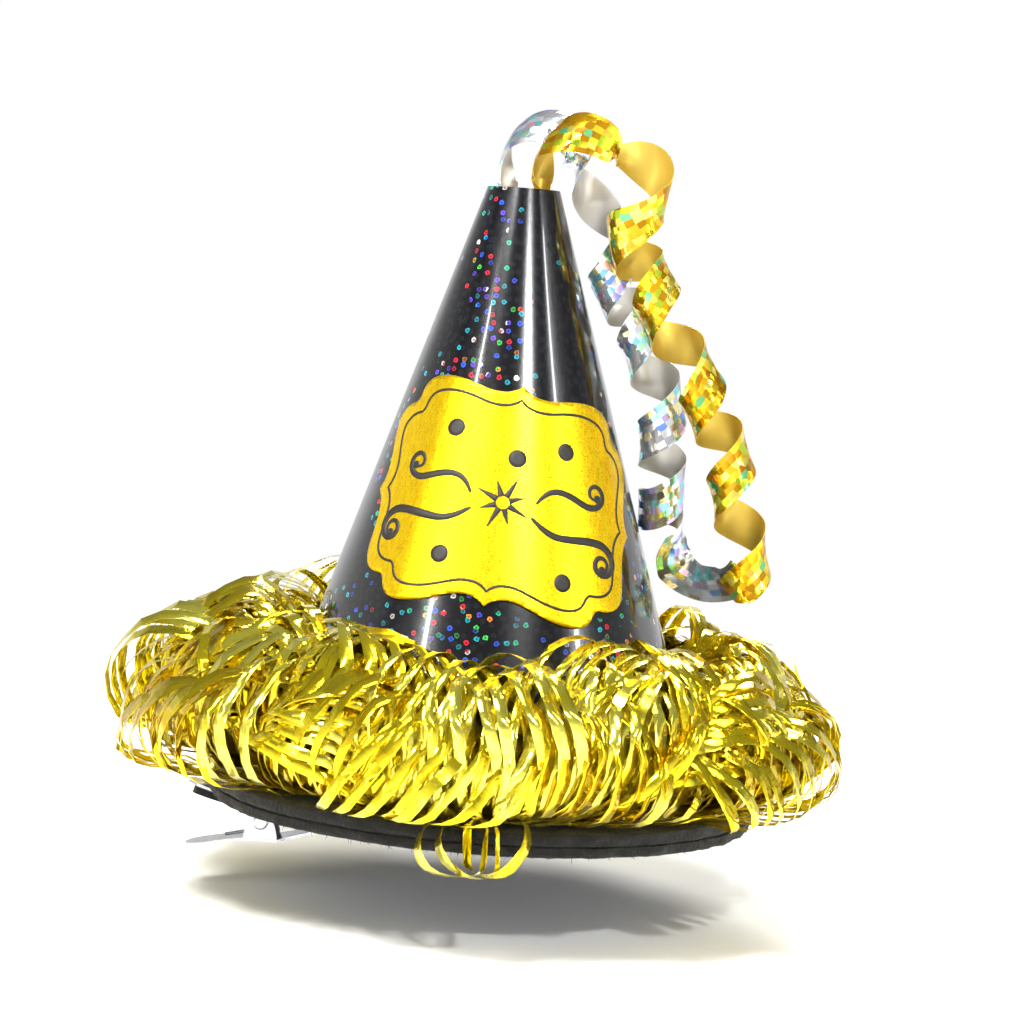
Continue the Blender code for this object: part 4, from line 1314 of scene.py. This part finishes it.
@dataclass
class Streamer:
    """One curled ribbon, wound round the line that its coil follows."""

    tint: Tint
    node: str
    route: tuple
    # Height on the route and the number of turns made there, whole where the face is to the viewer.
    turns: tuple
    # Share of the route and the coil's radius there.
    radii: tuple
    width: float = 0.0095
    thickness: float = 0.00012
    tuck: float = 0.0050  # how far the ribbon's end runs down into the cone's mouth
    step: float = 0.0006
    across: int = 8
    reading: float = 0.0120  # the stretch of route over which the coil's pitch is read
    roll_end: float = 0.003  # past the mouth the band stops being rolled up here,
    roll_fade: float = 0.010  # and is straight across after this much more
    end_cut: float = 0.15  # of the width, so that the slanting end stays on the route

    def frames(self) -> tuple[np.ndarray, np.ndarray, np.ndarray, np.ndarray]:
        """Reads the route with its distance, forward and sideways directions.

        Returns:
            The points, the distance along the route, and two directions across it: towards the
            viewer and to the side.
        """
        points = np.array([tuple(p) for p in smooth_route(self.route, self.step)])
        gone = np.concatenate([[0], np.cumsum(np.linalg.norm(np.diff(points, axis=0), axis=1))])
        forward = np.gradient(points, axis=0)
        forward /= np.linalg.norm(forward, axis=1, keepdims=True)
        near = np.array([0.0, -1.0, 0.0])
        facing = near - forward * (forward @ near)[:, None]
        facing /= np.linalg.norm(facing, axis=1, keepdims=True)
        return points, gone, facing, np.cross(forward, facing)

    def build(self, finishes: Finishes) -> bpy.types.Object:
        """Args:
            finishes: The hat's materials.

        Returns:
            The ribbon as one piece.
        """
        points, gone, facing, side = self.frames()
        total = gone[-1]
        marks = [share * total for share, _ in self.turns]
        count = [turn for _, turn in self.turns]
        places = [share * total for share, _ in self.radii]
        sizes = [radius for _, radius in self.radii]
        rows, sheet = [], []
        along = 0.0
        steps = int(total / self.step)
        first, last = -self.tuck, total - self.width * self.end_cut
        previous = None
        for i in range(steps + 1):
            at = first + (last - first) * i / steps
            radius = float(np.interp(at, places, sizes))
            turn = math.tau * float(np.interp(at, marks, count))
            # Read over a stretch of the route, so that the ribbon's lead changes gently.
            ahead, behind = at + self.reading / 2, at - self.reading / 2
            rate = (np.interp(ahead, marks, count) - np.interp(behind, marks, count)) / self.reading
            pitch = 1 / max(float(rate), 1.0)
            lead = math.atan2(pitch, math.tau * radius)
            row, flat = [], []
            # Rolled up in the cone's mouth, and straight across from there on.
            rolled = min(max(1 - (at - self.roll_end) / self.roll_fade, 0.0), 1.0)
            for k in range(self.across + 1):
                over = self.width * (k / self.across - 0.5)
                axial = min(max(at + over * math.cos(lead), first), total)
                bend = over * math.sin(lead) / radius
                centre = np.array([np.interp(axial, gone, points[:, c]) for c in range(3)])
                centre += min(axial, 0.0) * (points[1] - points[0]) / gone[1]
                near = np.array([np.interp(axial, gone, facing[:, c]) for c in range(3)])
                far = np.array([np.interp(axial, gone, side[:, c]) for c in range(3)])
                near, far = near / np.linalg.norm(near), far / np.linalg.norm(far)
                spots = [math.cos(turn - bend) * near + math.sin(turn - bend) * far]
                spots.append((math.cos(turn) + bend * math.sin(turn)) * near)
                spots[1] = spots[1] + (math.sin(turn) - bend * math.cos(turn)) * far
                point = centre + radius * (rolled * spots[0] + (1 - rolled) * spots[1])
                row.append(Vector(point))
                flat.append((along, over))
            middle = row[self.across // 2]
            if previous is not None:
                along += (middle - previous).length
            previous = middle
            rows.append(row)
            sheet.append(flat)
        mesh = solid_sheet(f"{self.tint.value}_ribbon", rows, self.thickness, sheet)
        face, back = finishes.ribbon(self.tint)
        ribbon = link(f"{self.tint.value}_ribbon", mesh, face, back)
        outward_check(ribbon)
        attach(ribbon, Body.HAT.value)
        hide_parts(self.node)
        return ribbon


SILVER_ROUTE = ((-0.0033, 0.0030, 0.1484), (-0.0029, 0.0031, 0.1510), (0.0014, 0.0045, 0.1575),
    (0.0088, 0.0055, 0.1605), (0.0150, 0.0060, 0.1570), (0.0172, 0.0062, 0.1495), (0.0180, 0.0062, 0.1415),
    (0.0205, 0.0060, 0.1330), (0.0250, 0.0055, 0.1240), (0.0300, 0.0050, 0.1160), (0.0340, 0.0050, 0.1070),
    (0.0365, 0.0050, 0.0980), (0.0378, 0.0055, 0.0885), (0.0384, 0.0070, 0.0795), (0.0388, 0.0105, 0.0715),
    (0.0402, 0.0150, 0.0645), (0.0450, 0.0175, 0.0590), (0.0515, 0.0160, 0.0570), (0.0580, 0.0120, 0.0590),
    (0.0620, 0.0080, 0.0640))
GOLD_ROUTE = ((0.0042, -0.0042, 0.1484), (0.0047, -0.0043, 0.1510), (0.0092, -0.0050, 0.1568),
    (0.0155, -0.0050, 0.1612), (0.0222, -0.0050, 0.1622), (0.0272, -0.0050, 0.1570),
    (0.0275, -0.0050, 0.1495), (0.0263, -0.0045, 0.1415), (0.0283, -0.0040, 0.1330),
    (0.0335, -0.0040, 0.1240), (0.0395, -0.0040, 0.1130), (0.0455, -0.0040, 0.1030),
    (0.0502, -0.0040, 0.0940), (0.0544, -0.0035, 0.0830), (0.0572, -0.0030, 0.0720),
    (0.0592, -0.0025, 0.0620), (0.0604, -0.0020, 0.0545))


# --------------------------------------------------------------------------------- the disc


@dataclass
class FeltDisc:
    """The two layers of felt that cover the board, with their stray fibres."""

    radius: float
    rim_lift: float = RIM_LIFT
    lift_start: float = -0.0560
    segments: int = 220
    hem: float = 0.8 * MM
    fibre_length: float = 1.3 * MM
    fibre_width: float = 0.12 * MM
    fibres: float = 230000.0  # to a square metre
    lean: float = 1.15

    def lift(self, x: float) -> float:
        """How far the disc is bent up at x."""
        share = max(0.0, self.lift_start - x) / (self.lift_start + self.radius)
        return self.rim_lift * min(share, 1.1) ** 2

    def layer(self, name: str, low: float, high: float, hem: float) -> bpy.types.Mesh:
        """Builds one layer as a closed round sheet with a soft, uneven edge.

        Args:
            name: The mesh's name.
            low: Its underside's height.
            high: Its upper side's height.
            hem: How far its edge is pressed towards the other layer, up or down over the board's edge.

        Returns:
            The layer's mesh.
        """
        profile = [(0.0, high), (0.5, high), (0.8, high)]
        profile += [(1 - 0.013 * k, high) for k in (6, 4, 2)]
        upper, lower = high + max(hem, 0.0), low + min(hem, 0.0)
        for k in range(6):
            turn = math.pi * (k + 0.5) / 6
            middle = lower + (upper - lower) * (1 + math.cos(turn)) / 2
            profile.append((1 - 0.005 * (1 - math.sin(turn)), middle))
        profile += [(1 - 0.013 * k, low) for k in (2, 4, 6)]
        profile += [(0.8, low), (0.5, low), (0.0, low)]
        bm = bmesh.new()
        rings = []
        for share, z in profile:
            ring = []
            for i in range(self.segments if share > 0 else 1):
                angle = math.tau * i / self.segments
                way = Vector((math.cos(angle), math.sin(angle), 0))
                rough = noise.noise(way * 52 + Vector((0, 0, z * 900))) * 0.0007
                rough += noise.noise(way * 9) * 0.0006
                spot = way * (self.radius * share + rough * (share > 0.9))
                sides = 0.00012 * noise.noise(spot * 900 + Vector((0, 0, z * 3000)))
                ring.append(bm.verts.new((spot.x, spot.y, z + self.lift(spot.x) + sides)))
            rings.append(ring)
        for near, far in zip(rings, rings[1:]):
            for i in range(self.segments):
                j = (i + 1) % self.segments
                corners = [near[i % len(near)], far[i % len(far)], far[j % len(far)], near[j % len(near)]]
                bm.faces.new(list(dict.fromkeys(corners)))
        return from_bmesh(bm, name, 70)

    def fibre(self) -> bpy.types.Object:
        """Builds one short bent fibre, a three-sided sliver."""
        bm = bmesh.new()
        rings = []
        for share, wide in ((0.0, 1.0), (0.5, 0.8), (1.0, 0.3)):
            ring = []
            for i in range(3):
                angle = math.tau * i / 3
                ring.append(bm.verts.new((0.5 * self.fibre_width * wide * math.cos(angle) + 0.35
                    * self.fibre_length * share**2, 0.5 * self.fibre_width * wide * math.sin(angle),
                    self.fibre_length * share * (1 - 0.25 * share))))
            rings.append(ring)
        for lower, upper in zip(rings, rings[1:]):
            for i in range(3):
                j = (i + 1) % 3
                bm.faces.new((lower[i], lower[j], upper[j], upper[i]))
        bm.faces.new(rings[0])
        bm.faces.new(rings[-1])
        return link("felt_fibre", from_bmesh(bm, "felt_fibre", 80))

    def tree(self) -> bpy.types.NodeTree:
        """Builds the node tree that scatters fibres over a layer."""
        tree = node_group("felt_fibres", {"Fibre": "Object", "Fibres per Square Metre": "Float",
            "Lean": "Float", "Seed": "Int", "Felt": "Material"})
        given = add_node(tree, "NodeGroupInput").outputs
        spots = add_node(tree, "GeometryNodeDistributePointsOnFaces",
            {"Mesh": given["Geometry"], "Density": given["Fibres per Square Metre"], "Seed": given["Seed"]})
        back = add_node(tree, "ShaderNodeMath", {0: given["Lean"], 1: -1.0}, operation="MULTIPLY")
        least = add_node(tree, "ShaderNodeCombineXYZ", {0: back, 1: back, 2: -math.pi})
        most = add_node(tree, "ShaderNodeCombineXYZ", {0: given["Lean"], 1: given["Lean"], 2: math.pi})
        tilt = add_node(tree, "FunctionNodeRandomValue", {0: least, 1: most, "Seed": given["Seed"]},
            data_type="FLOAT_VECTOR")
        leaning = add_node(tree, "FunctionNodeEulerToRotation", {0: tilt})
        turned = add_node(tree, "FunctionNodeRotateRotation", {0: spots.outputs["Rotation"], 1: leaning},
            rotation_space="LOCAL")
        size = add_node(tree, "FunctionNodeRandomValue", {2: 0.5, 3: 1.3, "Seed": 7}, data_type="FLOAT")
        source = add_node(tree, "GeometryNodeObjectInfo", {0: given["Fibre"]})
        fibres = add_node(tree, "GeometryNodeInstanceOnPoints", {"Points": spots,
            "Instance": source.outputs["Geometry"], "Rotation": turned, "Scale": size.outputs[1]})
        real = add_node(tree, "GeometryNodeRealizeInstances", {0: fibres})
        both = add_node(tree, "GeometryNodeJoinGeometry", {0: given["Geometry"]})
        tree.links.new(real.outputs[0], both.inputs[0])
        dressed = add_node(tree, "GeometryNodeSetMaterial", {0: both, "Material": given["Felt"]})
        add_node(tree, "NodeGroupOutput", {0: dressed})
        return tree

    def build(self, finishes: Finishes) -> list[bpy.types.Object]:
        """Builds both layers.

        Args:
            finishes: The hat's materials.

        Returns:
            The underfelt and the top felt.
        """
        tree = self.tree()
        fibre = self.fibre()
        made = []
        for node, seed, hem in (("felt_underside", 3, self.hem), ("felt_top", 8, -self.hem)):
            low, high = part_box(node)
            top = high.z - self.rim_lift
            layer = link(f"fuzzy_{node}", self.layer(node, low.z + 0.0001, top, hem))
            values = {"Fibre": fibre, "Fibres per Square Metre": self.fibres, "Lean": self.lean,
                "Seed": seed, "Felt": finishes.felt}
            run_group(layer, tree, values)
            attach(layer, Body.HAT.value)
            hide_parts(node)
            made.append(layer)
        bpy.data.objects.remove(fibre)
        return made


# ------------------------------------------------------------------------------- the studio


@dataclass
class Studio:
    """The camera, the pale floor and the soft lights."""

    floor_height: float
    distance: float = 0.700
    elevation: float = 4.6
    target: tuple = (0.0028, 0.0, 0.0707)
    lens: float = 102.7
    roll: float = 4.3
    horizon: float = 1.0

    def camera(self) -> None:
        """Places the camera in front, a little above, and rolled so that the hat leans right."""
        data = bpy.data.cameras.new("front_camera")
        data.lens = self.lens
        data.sensor_width = 36
        made = bpy.data.objects.new("front_camera", data)
        bpy.context.scene.collection.objects.link(made)
        rise = math.radians(self.elevation)
        back = Vector((0, -math.cos(rise), math.sin(rise)))
        made.location = Vector(self.target) + back * self.distance
        look = (-back).to_track_quat("-Z", "Y").to_matrix()
        made.rotation_euler = (look @ Matrix.Rotation(math.radians(self.roll), 3, "Z")).to_euler()
        bpy.context.scene.camera = made

    def world(self) -> None:
        """Makes the room: white walls all round, and a darker ceiling for the foil to reflect."""
        world = bpy.data.worlds.new("white_room")
        world.use_nodes = True
        bpy.context.scene.world = world
        tree = world.node_tree
        way = add_node(tree, "ShaderNodeTexCoord").outputs["Generated"]
        parts = add_node(tree, "ShaderNodeSeparateXYZ", {0: way})
        climb = add_node(tree, "ShaderNodeMapRange", {"Value": parts.outputs[2], "From Min": 0.14,
            "From Max": 0.42, "To Min": 0.0, "To Max": 1.0})
        side = add_node(tree, "ShaderNodeMix", {0: climb, 6: (self.horizon,) * 3 + (1.0,),
            7: (0.12, 0.125, 0.14, 1.0)}, data_type="RGBA")
        background = tree.nodes["Background"]
        feed(background, {0: side.outputs[2]})

    def floor(self) -> None:
        """Lays the floor, which fades into the room's white before its edge."""
        bm = bmesh.new()
        bmesh.ops.create_circle(bm, cap_ends=True, radius=6.0, segments=96)
        bmesh.ops.translate(bm, verts=bm.verts, vec=(0, 0, self.floor_height))
        mesh = bpy.data.meshes.new("studio_floor")
        bm.to_mesh(mesh)
        bm.free()
        material = bpy.data.materials.new("pale_studio_floor")
        material.use_nodes = True
        tree = material.node_tree
        tree.nodes.remove(tree.nodes["Principled BSDF"])
        place = add_node(tree, "ShaderNodeTexCoord").outputs["Object"]
        away = add_node(tree, "ShaderNodeVectorMath", {0: place}, operation="LENGTH")
        fade = add_node(tree, "ShaderNodeMapRange", {"Value": away.outputs["Value"], "From Min": 0.16,
            "From Max": 0.75}, interpolation_type="SMOOTHSTEP")
        near = add_node(tree, "ShaderNodeBsdfDiffuse", {"Color": (0.9, 0.9, 0.9, 1.0)})
        far = add_node(tree, "ShaderNodeEmission", {"Color": (self.horizon,) * 3 + (1.0,)})
        both = add_node(tree, "ShaderNodeMixShader", {0: fade, 1: near, 2: far})
        feed(tree.nodes["Material Output"], {0: both})
        link("studio_floor", mesh, material)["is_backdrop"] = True

    def lamp(self, name: str, azimuth: float, elevation: float, distance: float, size: tuple[float, float],
            power: float) -> None:
        """Hangs one area light that faces the hat.

        Args:
            name: The light's name.
            azimuth: Degrees round the hat, 0 at the camera and growing to the right.
            elevation: Degrees above the horizon.
            distance: How far from the hat it hangs.
            size: Its width and height.
            power: Its power in watts.
        """
        data = bpy.data.lights.new(name, "AREA")
        data.shape = "RECTANGLE"
        data.size, data.size_y = size
        data.energy = power
        made = bpy.data.objects.new(name, data)
        bpy.context.scene.collection.objects.link(made)
        turn, rise = math.radians(azimuth), math.radians(elevation)
        back = Vector((math.sin(turn) * math.cos(rise), -math.cos(turn) * math.cos(rise), math.sin(rise)))
        made.location = Vector((0, 0, 0.07)) + back * distance
        made.rotation_euler = (-back).to_track_quat("-Z", "Y").to_euler()

    def build(self) -> None:
        """Sets up the whole studio."""
        bpy.context.scene.view_settings.view_transform = "Standard"
        self.camera()
        self.world()
        self.floor()
        self.lamp("key_light", -35, 48, 1.1, (0.22, 0.22), 22)
        self.lamp("sparkle_light", 24, 34, 1.0, (0.05, 0.05), 5)
        self.lamp("left_strip", -44, 12, 1.0, (0.03, 0.8), 4)
        self.lamp("right_strip", 62, 12, 1.0, (0.03, 0.8), 3)
        self.lamp("top_light", 20, 80, 1.2, (0.5, 0.5), 10)
        self.lamp("back_light", 165, 40, 1.2, (0.4, 0.4), 12)


# ---------------------------------------------------------------------------------- all of it


def dress_frame(nodes: dict[str, bpy.types.Object], finishes: Finishes) -> None:
    """Gives the frame's own nodes that stay in view their materials.

    Args:
        nodes: The frame's nodes by name.
        finishes: The hat's materials.
    """
    for name, material in (("base_board", finishes.board), ("cone_glue_bead", finishes.glue),
            ("tip_glue_plug", finishes.glue), ("clip_glue_pad", finishes.glue),
            ("clip_upper_arm", finishes.steel), ("clip_lower_arm", finishes.steel),
            ("clip_pin", finishes.steel), ("felt_tab", finishes.felt)):
        data = nodes[name].data
        data.materials.clear()
        data.materials.append(material)


def wind_spring(source: bpy.types.Object, finishes: Finishes) -> bpy.types.Object:
    """Makes the clip's spring again, as a merged, smooth-shaded copy of the frame's own spring.

    Args:
        source: The frame's own spring.
        finishes: The hat's materials.

    Returns:
        The spring.
    """
    bm = bmesh.new()
    bm.from_mesh(source.data)
    bmesh.ops.remove_doubles(bm, verts=bm.verts, dist=0.000001)
    spring = link("torsion_spring", from_bmesh(bm, "torsion_spring", 50), finishes.spring)
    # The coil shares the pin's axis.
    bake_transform(spring)
    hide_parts("clip_spring")
    return spring


def main() -> None:
    """Builds the hat's looks round the frame."""
    logging.basicConfig(level=logging.INFO, format="%(name)s: %(message)s")
    for old in list(bpy.data.objects):
        bpy.data.objects.remove(old)
    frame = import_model()
    frame_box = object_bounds()
    finishes = Finishes()
    low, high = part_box("cone_card")
    felt_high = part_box("felt_top")[1]
    cone = Cone(low=low.z, height=high.z - low.z)
    disc_radius = felt_high.x
    pieces = [cone.build(finishes)]
    pieces += Plaque(cone).build(finishes)
    silver = Streamer(Tint.SILVER, "silver_streamer", SILVER_ROUTE,
        turns=((0.0, -0.35), (0.14, 0.05), (0.36, 1.0), (0.455, 2.0), (0.60, 3.0), (0.715, 4.0),
        (0.79, 4.90), (0.84, 5.02), (1.0, 5.02)), radii=((0.0, 0.0031), (0.02, 0.0040), (0.06, 0.0064),
        (0.13, 0.0068), (0.19, 0.0046), (0.28, 0.0056), (0.8, 0.0054), (0.9, 0.0056), (1.0, 0.0056)))
    gold = Streamer(Tint.GOLD, "gold_streamer", GOLD_ROUTE, turns=((0.0, -0.4), (0.15, 0.1), (0.34, 1.0),
        (0.46, 2.0), (0.645, 3.0), (0.785, 4.0), (0.965, 5.0), (1.0, 5.2)),
        radii=((0.0, 0.0020), (0.02, 0.0032), (0.06, 0.0058), (0.14, 0.0067), (0.19, 0.0058), (0.25, 0.0068),
        (0.30, 0.0066), (0.42, 0.0056), (1.0, 0.0054)))
    pieces += [silver.build(finishes), gold.build(finishes)]
    pieces += Fringe(cone, disc_radius, felt_high.z - RIM_LIFT).build(finishes)
    pieces += FeltDisc(disc_radius).build(finishes)
    dress_frame(frame["nodes"], finishes)
    pieces.append(wind_spring(frame["nodes"]["clip_spring"], finishes))
    for piece in pieces:
        LOG.info("%s: %d faces", piece.name, len(piece.data.polygons))
    Studio(floor_height=frame_box[0].z - OPEN_JAW_DROP).build()


if __name__ == "__main__":
    main()
